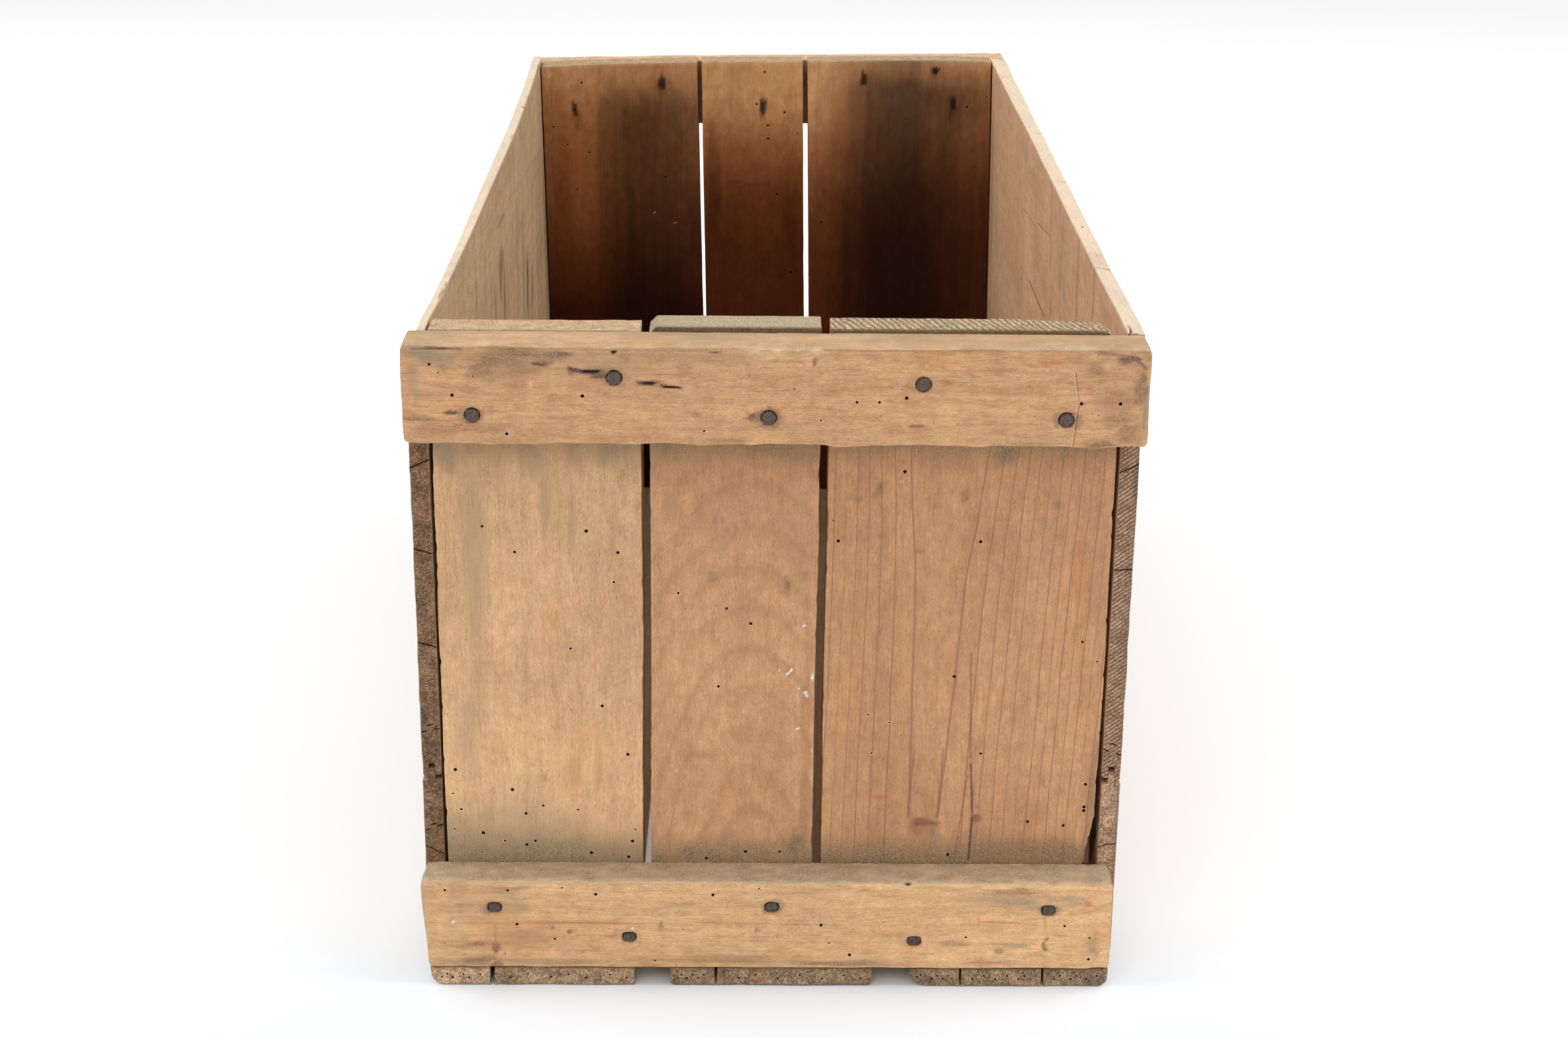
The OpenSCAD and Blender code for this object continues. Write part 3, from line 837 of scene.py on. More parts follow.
def front_centre():
    """Warm, with arches of rings and specks of whitewash."""
    name = "front_end_board_centre"
    lo, hi = limits(name)
    b = Board(lo, hi, Z, (1.8, 2.6, 1.8))
    finish_edges(b, 21, 0.6, wear=0.5, wear_reach=1.2)
    wavy(b, X, LOW, 0.25, 22, 22)
    b.pull(X, LOW, -0.9 * smooth(170, 70, b.rest[:, Z]), 30)
    b.pull(X, HIGH, 0.7 * smooth(250, 120, b.rest[:, Z]), 30)
    wavy(b, X, HIGH, 0.8, 24, 23)
    ragged(b, 27)
    weather(b, 24, 0.08)
    top = board_top(b, 25, 0.95)
    b.pull(Z, HIGH, 2.6 * smooth(3.5, 0.0, b.depth(X, LOW)), 12)
    b.lift("grey", 0.8 * smooth(6, 3, b.depth(X, LOW)) * smooth(7, 4, b.depth(Z, HIGH)))
    under_batten(b, 26)
    p, f = b.rest, b.f
    b.lift("grey", top * 0.75)
    f["tone"] *= 1 + 0.35 * top
    # Darker towards the upper batten: painted shade under it
    f["tone"] *= 1 - 0.12 * smooth(150, 262, p[:, Z])
    marks = {
        "grime_and_shade": [
            (-27, 195.5, 5, 6, 0.6), (-38, 197, 7, 5, 0.3), (-37.8, 79, 3.6, 4, 0.55),
            (-13.3, 89.4, 2.6, 3.6, 0.4), (-28, 150, 18, 60, 0.2), (-10, 236, 34, 26, 0.22),
        ],
        "stain_and_shade": [
            (5.6, 190, 2.6, 7, 0.55), (13.7, 196.5, 3, 5, 0.4), (-25.6, 221, 2.4, 9, 0.4),
            (-14.7, 242, 2, 5, 0.35), (-38, 240, 1.6, 3, 0.4), (-33, 108.7, 9, 2.4, 0.4),
            (11.5, 66, 6, 8, 0.65), (16, 85, 4, 40, 0.4), (10, 205, 16, 26, 0.22), (16, 130, 4, 60, 0.35),
            (-35, 108, 10, 4, 0.35), (-12, 118, 26, 6, 0.22),
        ],
        "warm": [(-2, 98, 26, 26, 0.30), (8, 80, 18, 24, 0.32)],
        "grey": [(-30, 205, 18, 22, 0.22), (6, 236, 16, 20, 0.18), (-48, 150, 5, 70, 0.25)],
    }
    dapple(b, marks, 7, 0.6)
    for x, z, w, h in (
        (8.3, 151, 1.3, 2.0), (6.5, 149, 1.6, 1.2), (2.7, 148.8, 1.0, 1.9), (16, 139, 1.8, 2.2),
        (13, 141, 1.4, 1.2), (11.6, 121.8, 1.4, 1.8), (11.2, 130.7, 0.9, 1.5), (14.3, 171.6, 1.1, 1.1),
        (12.9, 179.7, 0.6, 0.6), (11.8, 219.8, 0.9, 0.7), (19.2, 112, 0.7, 1.6), (18.6, 147, 0.8, 4.0),
        (-46.8, 113.7, 0.8, 1.6), (-43, 101, 0.8, 1.0),
    ):
        b.patch("dust", (x, None, z), (w * 1.1, 1, h * 1.1), 0.8, int(x) + 60, 0.9)
    holes = (
        (-43, 187, 0.5, 0.9), (-21, 181, 0.5, 0), (-9, 173, 0.7, 0), (-25, 143, 0.55, 1),
        (-11, 59, 0.7, 0), (-29, 56, 0.7, 0), (4, 60, 0.5, 0),
    )
    b.bore(Y, LOW, holes)
    look = wood(
        "wood_front_centre", Z, (0.740, 0.407, 0.203), (0.45, 0.228, 0.110), seed=2.3, streak=0.30,
        fleck=0.35,
        rings=dict(
            at=-10.0, depth=-10.0, dive=0.36, face=lo[Y], gap=7.0, line=0.14, soft=0.075, wave=14.0,
            width=0.5
        ),
        soil=0.4, end=((0.72, 0.60, 0.41), (0.52, 0.42, 0.26)), checks=0.1
    )
    build(name, [b], look)


def front_right():
    """Reddish, with long ring lines, and torn away low on its right."""
    name = "front_end_board_right"
    lo, hi = limits(name)
    b = Board(lo, hi, Z, (1.9, 1.3, 1.9))
    finish_edges(b, 31, 0.6, wear=0.5, wear_reach=1.2)
    wavy(b, X, LOW, 0.5, 30, 32)
    wavy(b, X, HIGH, 1.1, 40, 33, 20)
    ragged(b, 35)
    z = b.rest[:, Z]
    b.pull(X, LOW, -0.6 * smooth(250, 120, z), 30)
    torn = 0.5 * smooth(0.2, 0.7, noise(b.rest, (9, 9, 5), 34, 2)) * smooth(110, 90, z)
    b.pull(X, HIGH, 0.5 * smooth(112, 84, z) + 4.0 * smooth(80, 55, z) + torn, 26)
    weather(b, 35, 0.10)
    top = board_top(b, 36, 1.0)
    b.p[:, Z] -= top * 0.8 * smooth(-0.1, 0.7, noise(b.rest, (4, 4, 99), 37, 2))
    b.pull(Z, HIGH, 6.0 * smooth(11, 0.0, b.depth(X, HIGH)) ** 2, 14)
    b.pull(Z, HIGH, 1.5 * smooth(5, 19, b.depth(Y, LOW)) * smooth(100, 147, b.rest[:, X]), 10)
    under_batten(b, 39)
    b.lift("grey", top * 0.2)
    marks = {
        "stain_and_shade": [
            (69, 74.5, 9.5, 3.4, 0.85), (66, 71, 5, 5, 0.45), (74, 71, 3, 5, 0.4),
            (91.2, 82, 1.8, 36, 0.6), (93.5, 77, 4, 3, 0.7), (46, 236.6, 3, 6, 0.5),
            (35.8, 232.5, 6, 3.0, 0.42), (83.5, 233.5, 3.4, 6, 0.5), (72, 228.7, 6, 2.0, 0.42),
            (124, 230, 3.0, 4, 0.5), (147, 90, 4, 40, 0.45), (47, 191, 3, 1.6, 0.4),
            (47, 238, 2.5, 5, 0.3), (64, 208, 3, 2, 0.55), (84, 236, 3, 8, 0.3), (101, 254, 9, 9, 0.5),
            (110, 62, 30, 8, 0.4), (134, 60, 14, 9, 0.45),
        ],
        "red": [(69, 76, 8.0, 4.0, 0.45), (49.6, 87.8, 5.6, 2.0, 0.95)],
        "grime_and_shade": [
            (43.6, 254, 10, 4, 0.4), (86, 260, 60, 7, 0.35), (47, 205, 2, 10, 0.35),
            (36, 238, 4, 6, 0.35),
        ],
        "warm": [(34, 130, 10, 70, 0.35), (38, 170, 6, 40, 0.35), (60, 150, 14, 90, 0.22)],
        "grey": [(143, 200, 7, 70, 0.3), (128, 220, 12, 40, 0.22)],
    }
    dapple(b, marks, 9, 0.5)
    holes = (
        (55, 244, 0.65, 0), (25, 222, 0.6, 0), (29, 212, 0.6, 0), (91, 212, 0.6, 0), (146, 156, 0.7, 0),
        (82, 147, 0.6, 0), (94, 109, 0.5, 0), (138, 165, 0.5, 0), (145, 94, 0.65, 0), (143, 84, 0.75, 0),
        (144, 79, 0.7, 0), (118, 75, 0.6, 0), (135, 72, 0.65, 0), (43, 129, 0.4, 0.8),
        (52, 125, 0.4, 0.9), (46, 110, 0.4, 0.7), (82, 58, 0.6, 0),
    )
    b.bore(Y, LOW, holes)
    look = wood(
        "wood_front_right", Z, (0.690, 0.368, 0.178), (0.42, 0.205, 0.098), seed=3.7, streak=0.35,
        fleck=0.45,
        rings=dict(
            at=66.5, drift=0.038, depth=31.2, dive=-0.012, bends=((200.0, 1.0, -0.045),), face=lo[Y],
            gap=4.15, phase=0.49, line=0.8, soft=0.10, width=0.13, wave=2.2, tint=(0.24, 0.105, 0.075),
            core=(74.0, 80.0, 33.0, 28.8)
        ),
        soil=0.45,
        scratches=(
            ((160.0, 88.4), (106.0, 90.1), 0.6, 0.6, (0.20, 0.09, 0.07)),
            ((106.0, 90.1), (79.0, 91.7), 0.7, 0.85, (0.13, 0.06, 0.05)),
            ((79.0, 91.7), (54.0, 90.7), 0.8, 0.85, (0.11, 0.05, 0.04)),
            ((100.0, 89.0), (54.0, 84.0), 0.5, 0.6, (0.20, 0.09, 0.07)),
            ((113.0, 64.5), (77.0, 62.0), 0.5, 0.6, (0.22, 0.10, 0.075)),
            ((113.0, 77.5), (77.0, 76.0), 0.5, 0.6, (0.22, 0.10, 0.075))
        ),
        end=((0.76, 0.565, 0.33), (0.36, 0.25, 0.145)), kerf=(2.05, 0.7, 0.0, 0.5), checks=0.15
    )
    build(name, [b], look)


# ---------------------------------------------------------------- rear end boards

REAR_END = ((0.56, 0.39, 0.21), (0.34, 0.22, 0.11))


def racked(z):
    """The rear of the crate leans: how far right each height stands, in mm."""
    return np.interp(z, (95, 305), (1.85, -1.6))


def rear_board(name, seed, slant, tops, columns, fade, look, stains, holes, nails, shift):
    """A rear board: stained and darkened by painted shade inside, more so further down, weathered outside.
    """
    lo, hi = limits(name)
    b = Board(lo, hi, Z, (1.8, 2.6, 1.8))
    finish_edges(b, seed, 0.5, wear=0.25, wear_reach=0.8)
    wavy(b, X, LOW, 0.4, 20, seed + 1)
    wavy(b, X, HIGH, 0.4, 20, seed + 2)
    drop = np.interp(b.rest[:, X], *zip(*slant))
    b.pull(Z, HIGH, drop, 60)
    weather(b, seed + 3, 0.15)
    p, f = b.rest, b.f
    across = (p[:, X] - lo[X]) / (hi[X] - lo[X])
    upward = np.clip((p[:, Z] - 100) / 205, 0, 1)
    low_side, high_side = (below + (above - below) * upward for below, above in shift)
    b.p[:, X] += racked(p[:, Z]) + low_side * (1 - across) + high_side * across
    top = f["end"] * (b.depth(Z, HIGH) < 30)
    b.lift("bleach", top * 0.25)
    inside = smooth(6, 1, b.depth(Y, LOW))
    down = hi[Z] - p[:, Z]
    down_there = down + 6 * noise(p, (12, 99, 70), seed + 6, 3)
    # Inside, darker further down: stain and painted shade deep in the crate
    tone = np.interp(down_there, *zip(*tops))
    f["tone"] *= 1 + inside * (tone - 1)
    # Darker columns across the inside, put into the stain field: stain and painted shade
    shaded = (1 - np.interp(p[:, X] + 5 * noise(p, (9, 99, 90), seed + 7, 3), *zip(*columns))) / 0.85
    reach = fade[0] + (1 - fade[0]) * smooth(fade[1], fade[2], down_there)
    b.lift("stain_and_shade", inside * shaded * reach)
    arris = inside * smooth(3.2, 1.2, down + 1.0 * noise(p, (9, 30, 8), seed + 4, 3))
    b.lift("bleach", 0.3 * arris)
    b.lift("grey", 0.5 * smooth(12, 18, b.depth(Y, LOW)))
    for field, rows in stains.items():
        for x, z, w, h, v in rows:
            patch = inside * v * blob(p, (x, None, z), (w, 1, h), int(abs(x) + z), 0.5)
            if field == "tone":
                f["tone"] *= 1 - patch
            else:
                b.lift(field, patch)
    for x, z in nails:
        mark = blob(p, (x, None, z), (3.0, 1, 5.5), int(abs(x)), 0.6)
        mark = mark + 0.6 * blob(p, (x, None, z - 1), (4.2, 1, 15), 3, 0.8)
        b.lift("hole", inside * 0.72 * np.clip(mark, 0, 1))
    b.bore(Y, LOW, holes, 1.2)
    build(name, [b], look)


def rear_look(name, light, dark, warm, seed, rings, soak_and_shade):
    """Wood that darkens with the mesh's tone: stained by juice and age, and darkened by painted shade."""
    return wood(
        name, Z, light, dark, warm=warm, seed=seed, streak=0.35, fleck=0.3, rings=rings, end=REAR_END,
        # The near-black stain colour also paints shade
        rough=0.66, soak_and_shade=soak_and_shade, soil=0.35, stain_and_shade=(0.020, 0.010, 0.007)
    )


def rear_left():
    """Painted light at its left; dark below from stain and painted shade."""
    rings = dict(at=-128.0, depth=20.0, dive=-0.01, face=REAR_Y, gap=8.0, line=0.12, soft=0.12, wave=4.0)
    look = rear_look(
        "wood_rear_left", (0.62, 0.335, 0.150), (0.40, 0.19, 0.078), (0.46, 0.17, 0.050), 4.1, rings,
        (1.0, 1.42, 1.8)
    )
    stains = {
        "warm": [(-135, 205, 10, 90, 0.6), (-126, 235, 8, 80, 0.5), (-84, 272, 40, 46, 0.55)],
        "dust": [(-76, 206, 2.2, 1.4, 0.75), (-79, 204, 1.2, 1.0, 0.7), (-62, 199, 2.4, 1.3, 0.75)],
        "bleach": [(-84, 199, 3.2, 0.8, 0.6), (-58, 212, 7, 6, 0.35)],
        "tone": [(-127, 215, 11, 60, -0.15), (-46, 200, 8, 36, 0.25)],
        "wear": [(-145, 302, 4, 4, 0.7)],
    }
    holes = (
        (-123, 296, 0.8, 0.1), (-144, 265, 0.7, 0.5), (-133, 252, 0.8, 0.9), (-118, 249, 0.75, 0.8),
        (-128, 222, 0.6, 0.5), (-86, 284, 0.5, 0.5), (-68, 231, 0.6, 0),
    )
    tops = ((0, 1.0), (10, 0.95), (27, 0.80), (57, 0.62), (92, 0.46), (129, 0.27), (166, 0.11), (300, 0.06))
    columns = (
        (-149, 0.84), (-130, 1.02), (-119, 0.86), (-113, 0.60), (-104, 0.46), (-89, 0.36), (-69, 0.34),
        (-52, 0.48), (-44, 0.50)
    )
    slant = ((-149, 3.9), (-114, 2.2), (-46, 0.2), (0, 0.0))
    shift = ((0.0, 0.0), (-0.1, -1.1))
    rear_board(
        "rear_end_board_left", 41, slant, tops, columns, (0.36, 2, 34), look, stains, holes,
        ((-127, 277), (-69, 294)), shift
    )


def rear_centre():
    """Dark below from stain and painted shade."""
    rings = dict(at=-5.0, depth=34.0, dive=0.02, face=REAR_Y, gap=9.0, line=0.08, soft=0.12, wave=5.0)
    look = rear_look(
        "wood_rear_centre", (0.72, 0.40, 0.185), (0.46, 0.225, 0.095), (0.50, 0.18, 0.050), 5.3, rings,
        (1.0, 1.42, 1.8)
    )
    stains = {
        "grey": [(-18, 300, 16, 8, 0.2)],
        "tone": [(-34, 225, 6, 50, 0.3), (16, 200, 7, 40, 0.3)],
        "stain_and_shade": [(-20, 228, 14, 1.2, 0.5), (-6, 226, 10, 1.0, 0.5)],
        "warm": [(-16, 250, 20, 30, 0.3)],
    }
    holes = (
        (0, 302, 0.8, 0), (-6, 281, 0.75, 0), (12, 275, 0.8, 0), (1, 266, 0.8, 0), (2, 258, 0.75, 0),
        (22, 260, 0.7, 0), (6, 219, 0.6, 0), (15, 166, 0.7, 0),
    )
    tops = (
        (0, 1.0), (22, 0.97), (39, 0.80), (55, 0.55), (72, 0.37), (90, 0.25), (109, 0.19), (129, 0.155),
        (300, 0.11)
    )
    columns = ((-42, 0.9), (-10, 0.95), (0, 0.85), (12, 1.0), (24, 0.9))
    slant = ((-42, 0.8), (24, 0.2))
    shift = ((-1.6, -1.7), (0.0, -0.2))
    rear_board(
        "rear_end_board_centre", 51, slant, tops, columns, (0.3, 8, 30), look, stains, holes, ((-2, 279),),
        shift
    )


def rear_right():
    """Almost black in its middle from stain and painted shade."""
    rings = dict(at=90.0, depth=22.0, dive=0.01, face=REAR_Y, gap=9.0, line=0.1, soft=0.12, wave=5.0)
    look = rear_look(
        "wood_rear_right", (0.76, 0.43, 0.21), (0.50, 0.25, 0.105), (0.48, 0.175, 0.052), 6.7, rings,
        (1.0, 1.40, 1.7)
    )
    stains = {
        "hole": [(112, 303, 4, 5, 0.8)],
        "warm": [
            (146, 235, 5, 80, 0.5), (126, 200, 8, 70, 0.3), (50, 215, 18, 50, 0.3),
            (60, 270, 30, 46, 0.6), (120, 250, 30, 50, 0.4), (92, 296, 40, 26, 0.35),
        ],
        "red": [(144, 262, 5, 20, 0.4)],
        "tone": [(128, 288, 26, 26, 0.3)],
    }
    holes = (
        (28, 287, 0.7, 0), (28, 262, 0.7, 0), (29, 247, 0.75, 0), (36, 200, 0.7, 0), (133, 279, 0.7, 0),
        (147, 287, 0.7, 0),
    )
    tops = ((0, 1.0), (25, 0.97), (40, 0.80), (57, 0.60), (92, 0.30), (129, 0.19), (166, 0.16), (300, 0.10))
    columns = (
        (27, 1.0), (36, 0.86), (53, 0.44), (75, 0.21), (96, 0.15), (118, 0.34), (138, 0.48), (149, 0.55)
    )
    slant = ((27, 1.0), (83, 0.3), (125, 0.0), (149, 0.6))
    shift = ((-0.1, -0.4), (0.0, 0.0))
    rear_board(
        "rear_end_board_right", 61, slant, tops, columns, (0.6, 2, 24), look, stains, holes,
        ((65, 298), (124, 282)), shift
    )


# ---------------------------------------------------------------- battens


def batten(name, seed, side, shift, low_first, cut, look, marks, holes, shape):
    """A batten: its outer face is on the given side of Y, with sunk nail heads."""
    lo, hi = limits(name)
    nails, radius = batten_nails(name, shift, low_first), CUT_R if cut else WIRE_R
    x_extra, z_extra = (nail_ticks(sorted({n[k] for n in nails}), radius) for k in (0, 1))
    b = Board(lo, hi, X, (1.9, 1.7, 1.9), (x_extra, (), z_extra))
    finish_edges(b, seed, 0.65, 0.6, wear=0.75, wear_reach=1.0)
    for corner_x in (LOW, HIGH):
        for corner_z in (LOW, HIGH):
            near = smooth(3.0, 0, b.depth(Z, corner_z)) ** 2
            b.pull(X, corner_x, 0.8 * near, 12)
    shape(b)
    weather(b, seed + 5, 0.12)
    recess(b, Y, side, nails, CUT_HEAD if cut else WIRE_HEAD)
    face = smooth(2.0, 0.5, b.depth(Y, side))
    for field, rows in marks.items():
        for x, z, w, h, v in rows:
            patch = blob(b.rest, (x, None, z), (w, 1, h), int(abs(x) + 3 * abs(z)) % 97, 0.65)
            b.lift(field, face * min(1.0, 1.3 * v) * patch)
    b.bore(Y, side, holes)
    build(name, [b], look)


def upper_shape(b):
    """The wavy, chipped arrises of the front upper batten."""
    p = b.rest
    low_front = smooth(16, 0, b.depth(Y, LOW)) * 0.5 + 0.5
    b.pull(Z, LOW, low_front * (1.1 + 1.1 * noise(p, (15, 1e4, 1e4), 71, 3)), 12)
    front = smooth(9, 0, b.depth(Y, LOW))
    b.pull(Z, HIGH, front * (0.8 + 0.9 * noise(p, (18, 30, 1e4), 72, 3)), 9)
    # The chip in the front top arris
    chip = smooth(-17, -6, p[:, X]) * smooth(24, 13, p[:, X])
    gouge = 0.5 + 0.5 * np.sin((p[:, X] + p[:, Z] * 0.9) * 0.75 + 2 * noise(p, 8, 73, 2))
    down = b.depth(Z, HIGH)
    inwards = b.depth(Y, LOW)
    reach = np.sqrt((down / (6.5 + 1.5 * noise(p, (6, 99, 99), 74, 2))) ** 2 + (inwards / 6.5) ** 2)
    cut = chip * smooth(1.0, 0.25, reach)
    b.p[:, Y] += cut * (1.3 + 0.7 * gouge) * smooth(7, 2, inwards)
    b.p[:, Z] -= cut * (1.0 + 0.5 * gouge) * smooth(7, 2, down)
    b.lift("wear", smooth(0.1, 0.5, cut) * (0.45 + 0.35 * gouge))
    top = smooth(1.5, 0.3, down)
    b.lift("wear", top * (0.35 + 0.3 * noise(p, (30, 9, 99), 77, 3)))
    b.lift("grey", top * (0.58 + 0.3 * noise(p, (24, 12, 99), 78, 3)))
    b.f["tone"] *= 1 - 0.08 * top
    kerf = 0.5 + 0.5 * np.sin(p[:, X] * 2.1 + p[:, Y] * 1.6)
    b.p[:, Z] -= top * 0.10 * kerf * smooth(20, 80, p[:, X])
    # The hammer mark beside the first nail: a dent, with painted shade in it
    d = np.hypot(p[:, X] + 134.0, p[:, Z] - 276.0)
    face = b.depth(Y, LOW) < 0.5
    crescent = np.exp(-(((d - 4.6) / 0.7) ** 2)) * (p[:, X] < -133)
    b.p[:, Y] += np.where(face, 0.45 * crescent, 0)
    b.lift("stain_and_shade", face * 0.3 * crescent)
    # Ends that lean a little
    b.pull(X, LOW, 1.1 + 0.5 * noise(p, (1e4, 40, 12), 75, 2), 30)
    b.pull(X, HIGH, 1.0 + 0.6 * noise(p, (1e4, 40, 12), 76, 2), 30)


def lower_shape(b):
    """The front lower batten: straight arrises and a hollow left end."""
    p = b.rest
    front = smooth(9, 0, b.depth(Y, LOW))
    b.pull(Z, HIGH, front * (0.3 + 0.35 * noise(p, (30, 40, 1e4), 81, 3)), 8)
    b.pull(Z, LOW, front * (0.3 + 0.35 * noise(p, (14, 40, 1e4), 82, 3)), 8)
    hollow_end = 0.6 * smooth(5, 17, b.depth(Y, LOW)) * smooth(30, 52, p[:, Z])
    b.pull(X, LOW, 2.2 * smooth(50, 10, p[:, Z]) + hollow_end, 30)
    b.pull(X, HIGH, 3.4 + 0.6 * smooth(13, 18, b.depth(Y, LOW)) * smooth(38, 52, p[:, Z]), 30)
    top = smooth(1.5, 0.3, b.depth(Z, HIGH))
    grime_and_shade = 0.72 - 0.25 * smooth(14, 19, b.depth(Y, HIGH)) + 0.3 * noise(p, (7, 4, 99), 86, 3)
    b.lift("grime_and_shade", top * grime_and_shade)
    b.lift("grey", top * 0.75)
    b.lift("bleach", top * (0.42 + 0.35 * noise(p, (4, 2.5, 99), 87, 3)))
    b.f["tone"] *= 1 + 0.18 * top + 0.13 * smooth(10, 90, p[:, X]) * (1 - top)
    b.p[:, Z] -= top * 0.7 * noise01(p, 2.8, 83, 3)
    # A splinter off the top arris, with painted shade in its hollow
    hollow = blob(p, (62, LOWER_FACE, 54), (2.0, 3.0, 2.4), 84, 0.3)
    b.dent(1.2 * hollow)
    b.lift("hole", 0.9 * hollow)
    b.lift("pale", blob(p, (55, LOWER_FACE, 52), (1.2, 2.0, 3.5), 85, 0.3) * (b.depth(Y, LOW) < 1))


def plain_shape(seed):
    """The wavy arrises of a rear batten."""

    def shape(b):
        p = b.rest
        b.pull(Z, LOW, noise01(p, (18, 40, 1e4), seed, 3), 10)
        b.pull(Z, HIGH, noise01(p, (22, 40, 1e4), seed + 1, 3), 10)
        b.pull(X, LOW, 1.2 + 0.6 * noise(p, (1e4, 40, 12), seed + 2, 2), 30)
        b.pull(X, HIGH, 1.2 + 0.6 * noise(p, (1e4, 40, 12), seed + 3, 2), 30)
        top = smooth(1.5, 0.3, b.depth(Z, HIGH))
        b.lift("grey", top * 0.35)
        b.lift("wear", top * 0.4)

    return shape


def rear_upper_shape(b):
    """The rear upper batten, whose top falls to the left."""
    plain_shape(91)(b)
    b.pull(Z, HIGH, np.interp(b.rest[:, X], (-156, -25, 148), (5.2, 2.6, 0.0)), 80)
    b.lift("wear", 0.65 * smooth(1.5, 0.3, b.depth(Z, HIGH)))


UPPER_FACE = limits("front_upper_batten")[0][Y]
LOWER_FACE = limits("front_lower_batten")[0][Y]
BATTEN_END = ((0.50, 0.32, 0.19), (0.27, 0.16, 0.09))


INK = (0.070, 0.035, 0.035)
UPPER_SCRATCHES = (
    ((125.1, 298.5), (127.5, 283.8), 0.34, 0.6, (0.72, 0.50, 0.29)),
    ((127.5, 283.8), (125.6, 262.5), 0.34, 0.6, (0.72, 0.50, 0.29)),
    ((125.8, 298.0), (128.2, 283.5), 0.32, 0.7, (0.16, 0.08, 0.05)),
    ((128.2, 283.5), (126.3, 263.0), 0.32, 0.7, (0.16, 0.08, 0.05)),
    ((134.0, 305.8), (150.6, 303.6), 1.1, 0.6, (0.20, 0.11, 0.09)),
    ((150.2, 303.8), (157.0, 297.4), 1.2, 0.7, (0.20, 0.11, 0.09)),
    ((20.0, 305.6), (96.0, 306.0), 0.5, 0.45, (0.24, 0.13, 0.08)),
    ((-120.0, 305.6), (-30.0, 305.2), 0.5, 0.45, (0.24, 0.13, 0.08)),
    ((-154.0, 305.4), (-130.0, 305.4), 0.7, 0.45, INK), ((-59.5, 291.3), (-50.0, 290.6), 1.3, 0.85, INK),
    ((-50.0, 290.3), (-38.5, 288.4), 0.8, 0.8, INK), ((-88.5, 297.5), (-79.5, 295.2), 1.5, 0.85, INK),
    ((-103.5, 299.4), (-96.0, 298.3), 0.9, 0.75, INK), ((-88.0, 296.2), (-84.0, 294.0), 1.8, 0.5, INK),
)


